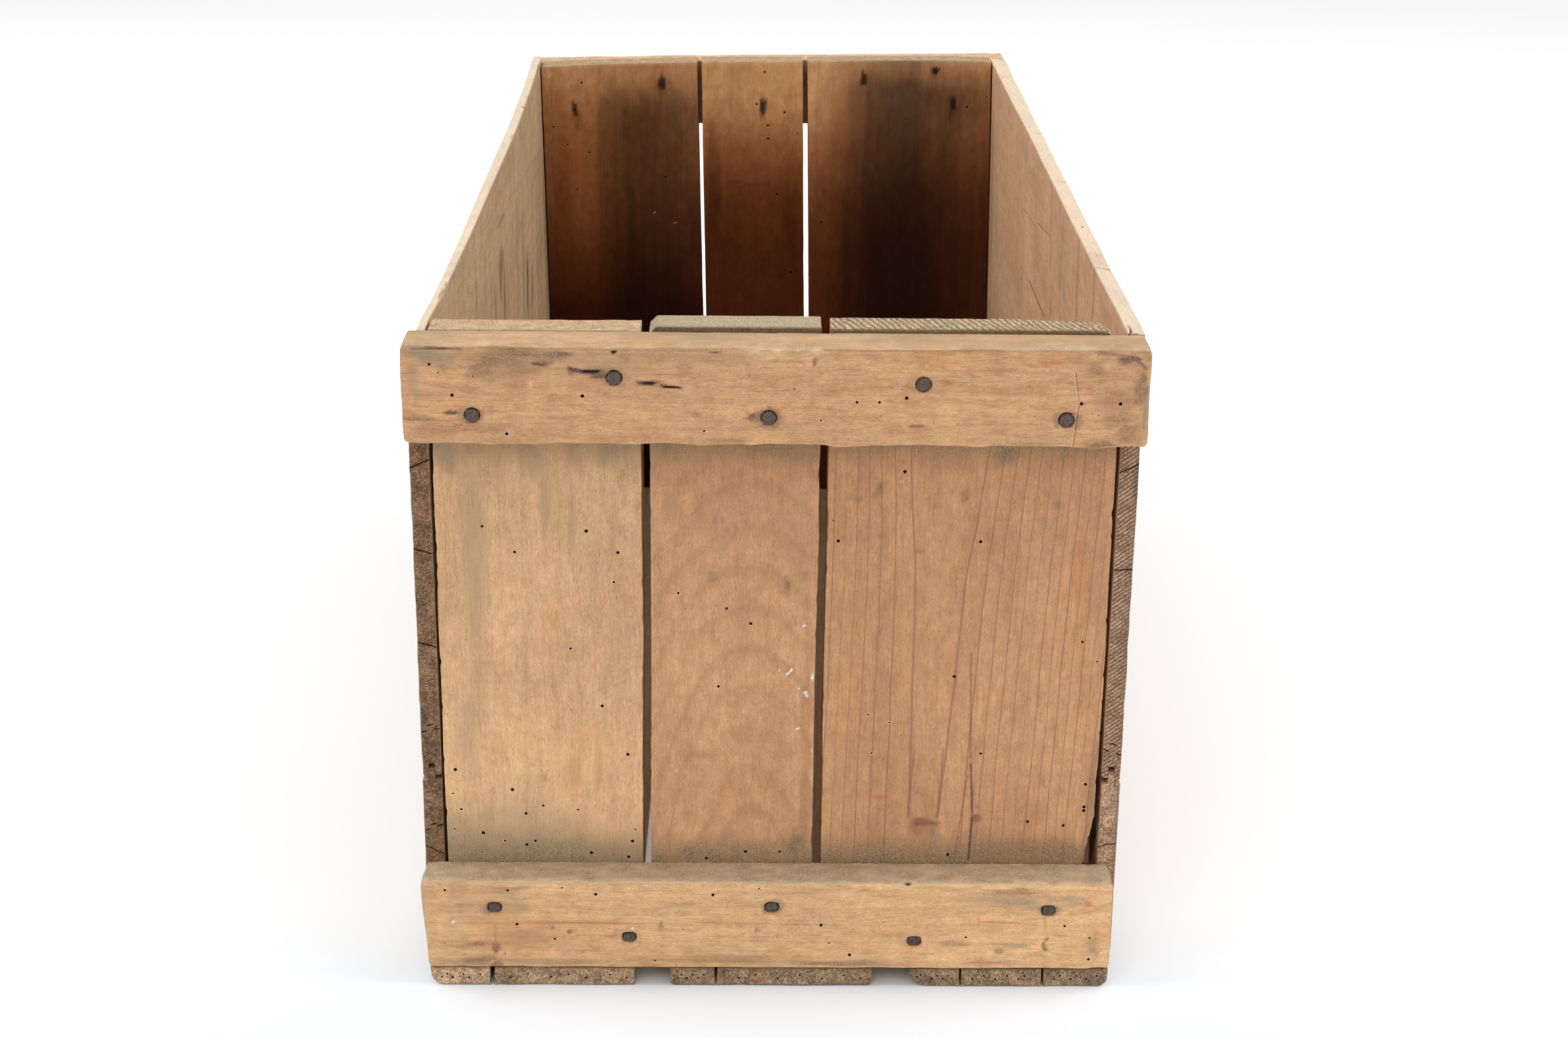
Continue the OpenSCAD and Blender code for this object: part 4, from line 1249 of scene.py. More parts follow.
def front_upper():
    """The upper batten of the front end."""
    look = wood(
        "wood_upper_batten", X, (0.735, 0.425, 0.212), (0.48, 0.250, 0.120), seed=7.9, streak=0.6,
        fleck=0.6,
        rings=dict(
            at=262.0, drift=0.012, depth=44.0, dive=0.01, face=UPPER_FACE, gap=5.5, line=0.06, soft=0.05,
            wave=5.0
        ),
        end=BATTEN_END, saw=0.2, soil=0.7, scratches=UPPER_SCRATCHES
    )
    marks = {
        "stain_and_shade": [
            (-121, 298, 22, 9, 0.42), (-60, 302, 70, 7, 0.22), (-101, 303, 30, 5, 0.45),
            (-110, 298, 18, 10, 0.35), (-91, 304, 9, 3, 0.5), (-98, 299, 6, 2.0, 0.6),
            (-75, 295.0, 7, 3.0, 0.75), (-53, 290.9, 6, 2.2, 0.55), (-64, 303, 8, 3, 0.35),
            (-151, 274.5, 13, 1.5, 0.45), (-137.6, 277, 5, 1.6, 0.75), (-131, 268, 3, 1.2, 0.45),
            (-120, 270, 12, 4, 0.3), (-145, 268, 14, 5, 0.3), (-8.5, 276.6, 5.5, 3.4, 0.65),
            (-34, 277, 4, 2, 0.35), (-34, 293, 4, 12, 0.2), (16.5, 301, 1.4, 3.0, 0.6),
            (60.8, 272.3, 7, 1.0, 0.55), (56, 290, 5, 3.5, 0.3), (138, 264.4, 9, 3.2, 0.55),
            (110, 264, 16, 2, 0.35), (-15, 264, 6, 1.2, 0.4), (150.6, 303, 8, 2.6, 0.65),
            (148, 300.5, 7, 2.5, 0.45), (155, 295, 3, 8, 0.45), (155, 287, 4, 9, 0.4),
            (136, 299, 12, 6, 0.35), (145, 284, 12, 14, 0.30), (150, 270, 9, 8, 0.4),
            (47.6, 285, 2, 2, 0.35),
        ],
        "warm": [
            (-140, 285, 20, 14, 0.22), (-100, 290, 24, 12, 0.2), (112, 304, 14, 3, 0.35),
            (132.3, 264.5, 1.0, 2.6, 0.6), (-143.4, 290, 1.6, 2.4, 0.3),
        ],
        "grime_and_shade": [(-85, 298, 60, 9, 0.30), (-40, 303, 50, 5, 0.28), (30, 304, 60, 4, 0.28)],
        "hole": [
            (-141, 306.2, 12, 1.0, 0.45), (-96.7, 298.7, 3.6, 0.8, 0.75), (-78, 295.9, 4.6, 1.2, 0.75),
            (-53.2, 290.9, 3.4, 1.2, 0.8), (-45, 289.3, 6.5, 0.6, 0.75), (-68.5, 305, 2.2, 1.0, 0.8),
            (-25.5, 305, 4, 0.8, 0.55),
        ],
        "grey": [
            (-149, 303, 10, 7, 0.75), (-140, 302, 14, 5, 0.45), (-153, 290, 4, 14, 0.4),
            (157, 283, 1.6, 16, 0.6),
        ],
        "red": [(116.9, 301.7, 8, 1.2, 0.75), (133, 289, 1.8, 2.6, 0.7)],
        "pale": [(-103.4, 290.5, 1.0, 2.4, 0.4), (-119.2, 273.5, 1.2, 3.0, 0.4)],
    }
    holes = (
        (-92.4, 305.3, 0.7, 0.9), (-127.2, 293.7, 0.7, 0.9), (-137.6, 286.3, 0.7, 0.2),
        (-146.5, 299.2, 0.5, 0), (-142, 296, 0.5, 0), (-82.4, 284.4, 0.85, 0.1),
        (-113.4, 265.9, 0.65, 0.8), (8.1, 288.6, 0.8, 0.1), (18.4, 274.9, 0.7, 0.9),
        (33.8, 281.6, 0.5, 0.3), (43.1, 283.6, 0.5, 0.3), (53.0, 289.0, 0.7, 0.9),
        (54.9, 285.6, 0.85, 0.1), (70.2, 279.3, 0.65, 0.2), (117.7, 271.8, 0.7, 0.1),
        (128.4, 281.0, 0.75, 0.1), (136.0, 277.6, 0.8, 0.1), (145.6, 282.0, 0.85, 0.1),
        (151, 272, 0.5, 0), (-30, 270, 0.4, 0.2),
    )
    batten("front_upper_batten", 70, LOW, UPPER_SHIFT, True, False, look, marks, holes, upper_shape)


def front_lower():
    """The lower batten of the front end."""
    look = wood(
        "wood_lower_batten", X, (0.840, 0.525, 0.270), (0.53, 0.300, 0.148), seed=8.6, streak=0.55,
        fleck=0.7,
        rings=dict(
            at=-20.0, drift=0.01, depth=48.0, dive=0.012, face=LOWER_FACE, gap=6.5, line=0.07, soft=0.06,
            wave=5.0
        ),
        end=BATTEN_END, saw=0.12, soil=0.8,
        scratches=(
            ((94.6, 36.2), (95.0, 30.4), 0.5, 0.8, (0.52, 0.17, 0.07)),
            ((95.0, 34.0), (114.0, 33.6), 0.5, 0.75, (0.52, 0.17, 0.07)),
            ((-112.0, 33.0), (-58.0, 32.4), 0.5, 0.5, (0.52, 0.17, 0.07))
        )
    )
    marks = {
        "grime_and_shade": [
            (-119, 48, 8, 4, 0.4), (-142, 12, 18, 4, 0.55), (-101, 12, 40, 3, 0.45),
            (-134, 38, 22, 10, 0.25), (-145, 25, 14, 14, 0.25), (104, 46, 26, 4, 0.5),
            (135, 20, 14, 8, 0.25), (150, 22, 6, 12, 0.45),
        ],
        "warm": [
            (-128, 26, 34, 24, 0.28), (-100, 30, 16, 10, 0.25), (-138, 50, 18, 5, 0.3),
            (-89.7, 42.8, 1.2, 4.0, 0.5), (-112, 26, 3, 6, 0.35), (45, 20, 1.0, 8, 0.3),
            (-54.5, 11, 8, 1.2, 0.7),
        ],
        "stain_and_shade": [
            (-122, 50, 14, 3, 0.35), (-125.4, 19.6, 3, 4, 0.6), (-126, 10, 4, 3, 0.6),
            (-133.4, 22, 9, 2.0, 0.42), (-134, 14, 12, 3, 0.5), (-49.7, 31.8, 1.6, 3.4, 0.6),
            (-91.4, 28.3, 1.6, 1.6, 0.7), (-99.6, 30.3, 1.6, 1.4, 0.6), (-110, 24, 30, 8, 0.25),
            (-71, 36, 2, 14, 0.25), (-30, 14, 50, 3, 0.35), (-5.8, 29.4, 2, 2, 0.55),
            (35, 12, 40, 3, 0.4), (20, 50, 40, 2, 0.25), (73, 52, 22, 1.4, 0.30), (84, 50, 14, 1.6, 0.32),
            (110, 50, 30, 3, 0.45), (84, 22.6, 12, 2.4, 0.4), (104.5, 19, 4, 2.5, 0.45),
            (99, 13, 20, 1.6, 0.4), (125.7, 21.4, 2.0, 5, 0.65), (125.5, 33, 1.4, 9, 0.35),
        ],
        "red": [
            (-125.6, 24, 1.2, 12, 0.5), (-93, 33.2, 40, 0.9, 0.55), (-60, 32, 16, 0.7, 0.4),
            (147, 43.4, 4, 2, 0.7), (104, 33.9, 11, 0.8, 0.8), (95.2, 33.6, 0.8, 3.4, 0.75),
        ],
        "grey": [
            (-116, 40.7, 9, 6, 0.35), (116, 43.5, 26, 4.5, 0.5), (140, 45, 12, 5, 0.45),
            (112, 22, 12, 2, 0.55),
        ],
        "dust": [
            (111, 41, 3, 2, 0.2), (93, 50, 1.0, 1.0, 0.7), (90.5, 51, 1.4, 0.7, 0.7),
            (-145.7, 33.3, 1.2, 1.0, 0.9), (-63, 30, 1.0, 0.9, 0.8), (24.9, 38.6, 0.9, 0.9, 0.9),
            (13.4, 37.9, 0.8, 0.8, 0.9), (-57, 52.4, 2.4, 0.6, 0.55),
        ],
    }
    holes = (
        (-147.4, 49.4, 0.5, 0.3), (-119.7, 51, 0.5, 0), (-94.8, 51.7, 0.6, 0), (-80.0, 48.0, 0.65, 0.8),
        (-156, 37.9, 0.7, 0), (-115.9, 32.2, 0.6, 0), (-99.3, 24.5, 0.6, 0), (-121.7, 16.9, 0.7, 0),
        (-125.4, 10.5, 0.7, 0), (-54.5, 12.3, 0.6, 0), (-45.6, 41.3, 0.75, 0), (-26.8, 45.9, 0.8, 0),
        (-5.2, 52.0, 0.7, 0.8), (32.5, 37.9, 0.65, 0.6), (22.8, 32.8, 0.65, 0.6), (27.0, 22.8, 0.6, 0.3),
        (36.0, 17.3, 0.65, 0.3), (89.6, 26.2, 0.55, 0), (110.3, 22.0, 0.75, 0.2), (132.6, 37.5, 0.75, 0),
        (134.5, 31.5, 0.5, 0.2), (147.7, 26.2, 0.8, 0.5), (147.5, 13.6, 0.8, 0.2), (68.1, 40.6, 0.5, 0),
    )
    batten("front_lower_batten", 80, LOW, LOWER_SHIFT, False, True, look, marks, holes, lower_shape)


def rear_batten(name, seed, shift, low_first, cut, shape):
    """A rear batten, with spread-out marks and wormholes."""
    lo, hi = limits(name)
    look = wood(
        "wood_" + name, X, (0.60, 0.365, 0.200), (0.40, 0.215, 0.110), seed=seed * 0.13, streak=0.6,
        fleck=0.6,
        rings=dict(
            at=lo[Z] + 8, drift=0.015, depth=-40.0, dive=0.01, face=hi[Y], gap=6.0, line=0.25, soft=0.3,
            wave=5.0
        ),
        end=BATTEN_END, saw=0.15
    )
    marks = {
        field: [
            (-120 + 37 * k, lo[Z] + 8 + (k * 17) % 31, 20 + (k * 7) % 19, 4 + k % 5, 0.35 + 0.1 * n)
            for k in range(n, 8, 3)
        ]
        for n, field in enumerate(("stain_and_shade", "grey", "warm"))
    }
    holes = [
        (-140 + 23 * k, lo[Z] + 6 + (k * 19) % 34, 0.5 + 0.05 * (k % 6), 0.3 * (k % 4)) for k in range(12)
    ]
    batten(name, seed, HIGH, shift, low_first, cut, look, marks, holes, shape)


# ---------------------------------------------------------------- side walls

TONGUE, PLAY, TONGUE_H, GROOVE_H = 2.8, 0.2, 5.5, 6.25
WALL_NAILS_Z = (48.0, 80.0, 118.0, 176.0, 234.0, 291.0)
NAIL_Y = (REAR_Y + limits("rear_end_board_left")[1][Y]) / 2
LEFT_BOW, RIGHT_BOW = 2.5, -0.8


def wall_board(name, side, upper, seed, look, cracks, marks, holes, shape):
    """One board of a side wall; side says which wall, and its outer face is there."""
    lo, hi = limits(name)
    middle = (lo[X] + hi[X]) / 2
    half = TONGUE / 2 + (PLAY if upper else 0)
    x_extra = [middle + s * (half + e) for s in (-1, 1) for e in (-0.04, 0.04)]
    z_extra = [z + s for z, *_ in cracks for s in (-0.42, -0.22, 0.22, 0.42)]
    nails = [(s * NAIL_Y, z) for s in (-1, 1) for z in WALL_NAILS_Z if lo[Z] < z < hi[Z]]
    y_extra = nail_ticks((-NAIL_Y, NAIL_Y), WIRE_R)
    z_extra += nail_ticks(sorted({n[1] for n in nails}), WIRE_R)
    b = Board(lo, hi, Y, (1.4, 3.3, 2.4), (x_extra, y_extra, z_extra))
    p = b.rest
    finish_edges(b, seed, 0.6, 0.6, wear=0.6, wear_reach=1.1)
    within = abs(p[:, X] - middle) < half
    if upper:
        b.pull(Z, LOW, GROOVE_H * within, 40)
        b.pull(Z, LOW, 0.7 * (side * (p[:, X] - middle) < -half), 20)
    else:
        b.pull(Z, HIGH, (TONGUE_H + 0.5 * noise01(p, (99, 30, 99), seed + 7, 2)) * ~within, 40)
        b.pull(Z, HIGH, 0.6 * noise01(p, (99, 12, 99), seed + 8, 2) * within, 20)
    ripple = (0.7 if upper else 0.3) * noise01(p, (99, 30, 9), seed + 9, 3)
    b.pull(X, side, ripple * smooth(12, 0, b.depth(Y, LOW)), 5)
    b.pull(X, -side, side * racked(p[:, Z]) * smooth(60, 309, p[:, Y]), 8.8)
    corner = smooth(300, 308, p[:, Y])
    b.pull(X, -side, -0.5 * corner, 4)
    for z, slope, depth in cracks:
        b.slot(Y, LOW, Z, z, depth + 0.8)
        course = slope * (p[:, X] - middle) + 0.3 * noise(p, (1.6, 99, 99), 9, 2)
        b.p[:, Z] += course * smooth(7, 1, abs(p[:, Z] - z))
    shape(b)
    weather(b, seed + 4, 0.15)
    recess(b, X, side, nails, WIRE_HEAD)
    for field, rows in marks.items():
        for centre, size, v in rows:
            b.patch(field, centre, size, v, int(abs(sum(a or 0 for a in centre))) % 89, 0.5)
    outside = smooth(3, 0.5, b.depth(X, side))
    b.lift("grey", outside * (0.45 + 0.3 * noise(p, (99, 160, 40), seed + 11, 2)))
    ends = np.minimum(b.depth(Y, LOW), b.depth(Y, HIGH))
    b.lift("grime_and_shade", outside * 0.3 * smooth(60, 10, ends))
    if not upper:
        b.lift("grime_and_shade", 0.55 * smooth(28, 8, p[:, Z] - lo[Z] + 6 * noise(p, (99, 30, 12), seed + 12, 2)))
    b.holes += holes
    build(name, [b], look)


def bowed(b, amount):
    """Both boards of a wall bend in the same way."""
    y = b.rest[:, Y] / 309.0
    curve = np.clip(1 - np.abs(y) ** 3.5, 0, 1)
    b.p[:, X] += amount * curve * (0.25 + 0.75 * smooth(40, 300, b.rest[:, Z]))


def left_upper_shape(b):
    """The left wall's upper board: a bevelled, chipped rim with a crack across it."""
    p = b.rest
    down = b.depth(Z, HIGH)
    bevel = np.interp(p[:, Y], (-330, -267, -85, 140, 330), (5.6, 5.4, 3.9, 3.4, 2.4))
    b.pull(X, LOW, bevel * smooth(15, 0, down) ** 1.3, 8.6)
    b.pull(Z, HIGH, noise01(p, (99, 60, 99), 101, 2), 12)
    chips = smooth(0.25, 0.6, noise(p, (99, 13, 99), 102, 3))
    inner = b.depth(X, HIGH)
    reach = np.hypot(inner / 2.6, down / 3.2)
    cut = chips * smooth(1.0, 0.2, reach)
    b.p[:, X] -= 1.1 * cut
    b.p[:, Z] -= 0.8 * cut
    b.lift("wear", cut)
    b.lift("red", 0.75 * cut * smooth(60, -60, p[:, Y]))
    rim = smooth(2.0, 0.5, down)
    b.lift("bleach", (0.95 + 0.15 * noise(p, (20, 25, 20), 104, 2)) * rim)
    b.lift("grey", rim * blob(p, (None, -235, None), (1, 26, 1), 105, 0.6))
    # The crack across the rim, with painted shade in it
    line = abs(p[:, Y] - 156.0 - 0.25 * (p[:, X] + 154.5) - 0.8 * noise(p, (2.5, 99, 99), 103, 2))
    b.p[:, Z] -= rim * 0.5 * smooth(1.8, 0.2, line)
    b.lift("hole", rim * 0.8 * smooth(1.6, 0.3, line))
    bowed(b, LEFT_BOW)


def right_upper_shape(b):
    """The right wall's upper board: a chipped rim with two marks and a split at its front."""
    p = b.rest
    down = b.depth(Z, HIGH)
    b.pull(X, HIGH, (0.9 + 0.5 * noise(p, (99, 45, 99), 111, 2)) * smooth(14, 0, down), 8)
    b.pull(Z, HIGH, 0.4 + 0.4 * noise(p, (99, 60, 99), 112, 2) + 0.8 * smooth(2, 8, b.depth(X, LOW)), 10)
    chips = smooth(0.35, 0.65, noise(p, (99, 11, 99), 113, 3)) * smooth(-80, -250, p[:, Y])
    reach = np.hypot(b.depth(X, LOW) / 2.6, down / 3.5)
    cut = chips * smooth(1.0, 0.2, reach)
    b.p[:, X] += 1.0 * cut
    b.p[:, Z] -= 0.9 * cut
    b.lift("wear", cut)
    rim = smooth(2.0, 0.5, down)
    b.lift("bleach", (0.95 + 0.15 * noise(p, (20, 25, 20), 115, 2)) * rim)
    b.lift("grey", 0.9 * rim * blob(p, (None, -275, None), (1, 22, 1), 116, 0.7))
    b.lift("red", 0.35 * rim * blob(p, (None, -205, None), (1, 30, 1), 117, 0.7))
    for y in (-140.0, -196.0):
        dash = smooth(1.3, 0.4, abs(p[:, Y] - y)) * smooth(1.6, 0.8, abs(p[:, X] - 154.5))
        b.lift("hole", 0.85 * rim * dash)
    # The split at the front, with painted shade in it
    split = smooth(0.5, 0.15, abs(p[:, X] - 151.9 - 0.3 * noise(p, (99, 3, 99), 114, 2)))
    split = split * smooth(-316, -319, p[:, Y])
    b.p[:, Z] -= rim * 3.0 * split
    b.lift("hole", 0.9 * split * smooth(4, 1, down))
    bowed(b, RIGHT_BOW)


DARK_LINE = (0.10, 0.055, 0.035)
WALL_END_LEFT = ((0.440, 0.245, 0.128), (0.130, 0.066, 0.036))
WALL_END_RIGHT = ((0.860, 0.530, 0.325), (0.270, 0.150, 0.090))


def wall_look(name, light, dark, end, seed, rings, saw, lines=(), kerf=None):
    """Wood of a side wall; lines are fine dark scratches."""
    return wood(
        name, "wall", light, dark, warm=(0.56, 0.27, 0.12), seed=seed, streak=0.22, fleck=0.35, rings=rings,
        end=end, saw=saw, rough=0.8, relief=1.2, scratches=[(*line, DARK_LINE) for line in lines], kerf=kerf
    )


def left_wall():
    """Both boards of the left wall."""
    rings = dict(
        at=262.0, drift=-0.035, depth=17.0, dive=0.035, face=-150.0, gap=9.0, line=0.10, soft=0.05,
        wave=6.0, width=0.14, ends=0.1
    )
    lines = (
        ((8, 277.5), (-34, 278.5), 0.8, 0.8), ((8, 277.5), (12, 262), 1.3, 0.7),
        ((12, 262), (-10, 250), 1.0, 0.45), ((100, 287), (104, 250), 1.0, 0.35),
        ((-66, 262), (-72, 240), 1.3, 0.5), ((-143, 282), (-145, 262), 1.2, 0.6),
    )
    look = wall_look(
        "wood_left_upper", (0.62, 0.44, 0.255), (0.40, 0.265, 0.145), WALL_END_LEFT, 9.2, rings, 0.8,
        lines=lines
    )
    cracks = ((247.0, 0.45, 1.6), (206.5, -0.28, 1.8), (162.0, -0.3, 0.8), (120.0, 0.2, 0.5))
    marks = {
        "grey": [
            ((None, -225, 215), (1, 34, 70), 0.45), ((None, -150, 200), (1, 30, 90), 0.45),
            ((None, -60, 190), (1, 22, 70), 0.35), ((None, 120, 180), (1, 30, 90), 0.4),
            ((None, 250, 190), (1, 26, 90), 0.35),
        ],
        "stain_and_shade": [
            ((-150, -18, 252), (8, 18, 18), 0.65), ((-150, -50, 240), (8, 10, 24), 0.5),
            ((-150, 0, 228), (8, 8, 34), 0.6), ((-150, 149, 200), (8, 9, 30), 0.85),
            ((-150, 184, 188), (8, 6, 26), 0.8), ((-150, 120, 215), (8, 7, 40), 0.4),
            ((-150, -143, 270), (8, 4, 14), 0.45), ((-150, -100, 268), (8, 14, 22), 0.3),
            ((-150, 305, 190), (8, 12, 110), 0.45), ((-159, -330, 100), (8, 5, 22), 0.4),
            ((-159, -330, 128), (5, 5, 9), 0.6),
        ],
        "warm": [((-150, 270, 220), (8, 16, 90), 0.3)],
    }
    wall_board("left_wall_upper_board", LOW, True, 100, look, cracks, marks, (), left_upper_shape)
    lower_rings = dict(rings, at=40.0, drift=0.02)
    look = wall_look(
        "wood_left_lower", (0.50, 0.34, 0.20), (0.28, 0.18, 0.10), WALL_END_LEFT, 10.4, lower_rings, 0.7
    )
    marks = {
        "grey": [((None, -200, 60), (1, 80, 30), 0.4), ((None, 120, 60), (1, 120, 30), 0.45)],
        "grime_and_shade": [((-159, -330, 65), (9, 5, 14), 0.6)],
    }
    cracks = ((73.0, 0.35, 1.6), (60.0, -0.5, 1.0))
    wall_board(
        "left_wall_lower_board", LOW, False, 105, look, cracks, marks, (), lambda b: bowed(b, LEFT_BOW)
    )


def right_wall():
    """Both boards of the right wall."""
    rings = dict(
        at=350.0, drift=0.11, depth=60.0, dive=0.02, face=150.0, gap=3.0, line=0.06, soft=0.05, wave=3.0,
        width=0.3, ends=0.1
    )
    lines = (
        ((-38, 309), (-50, 262), 1.3, 0.75), ((-58, 250), (-60, 225), 1.3, 0.6),
        ((-98, 306), (-92, 262), 1.2, 0.45), ((-160, 308), (-166, 262), 1.4, 0.75),
        ((-221, 309), (-222, 282), 1.4, 0.8), ((-190, 306), (-193, 280), 1.2, 0.4),
        ((53, 230), (-33, 231.5), 0.8, 0.9), ((23, 271), (-49, 280), 0.5, 0.55),
        ((87, 309), (89, 290), 1.3, 0.8), ((58, 304), (57, 298), 1.0, 0.8),
        ((90, 262), (20, 268), 0.5, 0.4), ((20, 250), (-30, 246), 0.5, 0.5),
        ((-281, 303), (-286, 292), 0.6, 0.6), ((-120, 300), (-128, 270), 0.4, 0.35),
        ((-150, 300), (-160, 276), 0.4, 0.35),
    )
    look = wall_look(
        "wood_right_upper", (0.72, 0.455, 0.265), (0.50, 0.285, 0.160), WALL_END_RIGHT, 11.8, rings, 0.35,
        lines=lines, kerf=(-2.3, 0.0, 3.1, 0.45)
    )
    cracks = ((247.0, 0.5, 1.2), (199.6, 0.05, 1.8), (110.6, -0.3, 1.8))
    marks = {
        "grime_and_shade": [
            ((150, 10, 255), (8, 24, 22), 0.40), ((150, -20, 248), (8, 14, 12), 0.35),
            ((150, -262, 296), (8, 26, 10), 0.5),
        ],
        "grey": [((150, -300, 298), (8, 10, 8), 0.5)],
        "stain_and_shade": [
            ((150, -90, 275), (8, 40, 26), 0.35), ((150, 30, 290), (8, 60, 14), 0.30),
            ((150, 110, 296), (8, 30, 9), 0.30), ((150, -160, 285), (8, 30, 20), 0.25),
            ((150, 194, 299), (5, 6, 5), 0.65), ((150, 58, 301), (5, 3, 3.5), 0.6),
            ((150, 300, 230), (8, 14, 90), 0.35), ((159, -330, 240), (6, 5, 14), 0.5),
        ],
        "warm": [((150, -60, 240), (8, 60, 26), 0.25), ((150, 150, 240), (8, 90, 50), 0.3)],
    }
    holes = ((X, LOW, -231.0, 268.0, 0.7, 2.0, 0.1), (X, LOW, -140.0, 250.0, 0.7, 2.0, 0))
    wall_board("right_wall_upper_board", HIGH, True, 120, look, cracks, marks, holes, right_upper_shape)
    lower_rings = dict(rings, at=150.0, drift=-0.05)
    look = wall_look(
        "wood_right_lower", (0.52, 0.32, 0.18), (0.32, 0.175, 0.095), WALL_END_RIGHT, 12.6, lower_rings, 0.3
    )
    marks = {
        "grey": [((None, -150, 50), (1, 120, 30), 0.35), ((None, 160, 60), (1, 100, 30), 0.4)],
        "grime_and_shade": [((159, -330, 60), (9, 5, 20), 0.35)],
        # Painted deep shadow on the inner face at the front, low down
        "hole": [((150, -308, 62), (5, 16, 30), 0.95)],
    }
    cracks = ((64.0, 0.2, 0.6),)
    wall_board(
        "right_wall_lower_board", HIGH, False, 125, look, cracks, marks, (), lambda b: bowed(b, RIGHT_BOW)
    )


# ---------------------------------------------------------------- bottom boards


def rounded_under(b, side, radius):
    """Rounds the lower edge along one side of a bottom board."""
    d = np.clip(b.depth(X, side), 0, radius)
    lift = radius - np.sqrt(radius**2 - (radius - d) ** 2)
    b.pull(Z, LOW, lift, 9.2)


def bottom_board(name, seed, splits, shape, look):
    """A bottom board, split along the grain from its front end."""
    lo, hi = limits(name)
    places = [lo[X], *(s[0] for s in splits), hi[X]]
    parts = []
    for k in range(len(places) - 1):
        a, c = lo.copy(), hi.copy()
        a[X], c[X] = places[k], places[k + 1]
        b = Board(a, c, Y, (2.6, 3.4, 1.6))
        p, f = b.rest, b.f
        near_split = np.full(len(p), 99.0)
        if k > 0:
            near_split = np.minimum(near_split, b.depth(X, LOW))
        if k < len(places) - 2:
            near_split = np.minimum(near_split, b.depth(X, HIGH))
        r = 0.9 * (1 + 0.6 * noise(p, (11, 11, 11), seed, 3))
        r += 1.2 * smooth(0.4, 0.8, noise(p, (17, 17, 17), seed + 1, 2))
        b.round(r * (0.12 + 0.88 * smooth(0.0, 3.0, near_split)))
        rub = np.clip(0.55 + 0.75 * noise(p, (9, 9, 9), seed + 2, 3), 0, 1)
        f["wear"] = 0.6 * rub * np.exp(-((b.edge / 1.5) ** 2)) * smooth(0, 2, near_split)
        for edge, side in ((k, LOW), (k + 1, HIGH)):
            if 0 < edge < len(places) - 1:
                _, width, length = splits[edge - 1]
                open_by = width / 2 * np.clip(1 - (p[:, Y] - lo[Y]) / length, 0, 1) ** 0.7
                b.pull(X, side, open_by * (1 + 0.35 * noise(p, (99, 7, 4), seed + edge, 2)) + 0.03, 6)
            else:
                wavy(b, X, side, 0.5, 45, seed + 3 + edge, 20)
        shape(b, k)
        weather(b, seed + 5, 0.2)
        b.pull(Y, LOW, 1.2 * noise01(p, (24, 99, 99), seed + 6, 3), 12)
        b.pull(Y, HIGH, 1.5 * noise01(p, (24, 99, 99), seed + 7, 3), 12)
        under = smooth(2.0, 0.5, b.depth(Z, LOW))
        # The top face, the crate's inner floor, is darker: painted shade inside the crate, and stain
        floor_side = smooth(2.0, 0.5, b.depth(Z, HIGH)) * (1 - f["end"])
        f["tone"] *= 1 - 0.45 * floor_side
        # A painted shadow line along the top of the end grain, under the lower batten
        b.lift("stain_and_shade", 0.55 * f["end"] * smooth(2.4, 0.3, b.depth(Z, HIGH)))
        b.lift("stain_and_shade", 0.5 * f["end"] * smooth(0.0, 0.6, noise(p, (13, 99, 6), seed + 10, 3)))
        b.lift("warm", 0.5 * f["end"] * smooth(0.2, 0.7, noise(p, (11, 99, 7), seed + 13, 3)))
        b.lift("grime_and_shade", under * (0.45 + 0.3 * noise(p, (40, 70, 99), seed + 8, 3)))
        b.lift("grey", (0.35 + 0.25 * noise(p, (50, 120, 99), seed + 9, 2)) * (1 - 0.5 * f["end"]))
        b.lift("wear", 0.5 * f["end"] * smooth(0.1, 0.7, noise(p, (9, 99, 5), seed + 11, 3)))
        # Darker near the long sides, by the gaps between boards: painted shade
        corners = np.minimum(b.depth(X, LOW), b.depth(X, HIGH))
        b.lift("stain_and_shade", (1 - under) * 0.25 * smooth(12, 2, corners))
        nails = [
            (places[0] + 47.0 + step, end * (NAIL_Y if step else NAIL_Y + END_T))
            for step in NAIL_STEPS
            for end in (-1, 1)
        ]
        for x, y in nails:
            if a[X] < x < c[X]:
                d = np.hypot(p[:, X] - x, p[:, Y] - y)
                bottom = b.depth(Z, LOW) < 0.5
                b.p[:, Z] += np.where(bottom, 0.95 * smooth(WIRE_R + 2.6, WIRE_R + 0.2, d), 0)
                b.lift("stain_and_shade", np.where(bottom, 0.7 * smooth(9, 4, d), 0))
        for n in range(7):
            x = a[X] + (0.13 + 0.137 * n) * (c[X] - a[X])
            b.holes.append((Y, LOW, x, 2.4 + (n * 2.9) % 5.4, 0.55, 2.0, 0.5 * (n % 2)))
            b.holes.append((Z, HIGH, x, -260.0 + 91.0 * n + 7 * k, 0.7, 2.0, 0.4 * (n % 3)))
        parts.append(b)
    build(name, parts, look)


BOTTOM_END = ((0.735, 0.497, 0.280), (0.200, 0.120, 0.072))


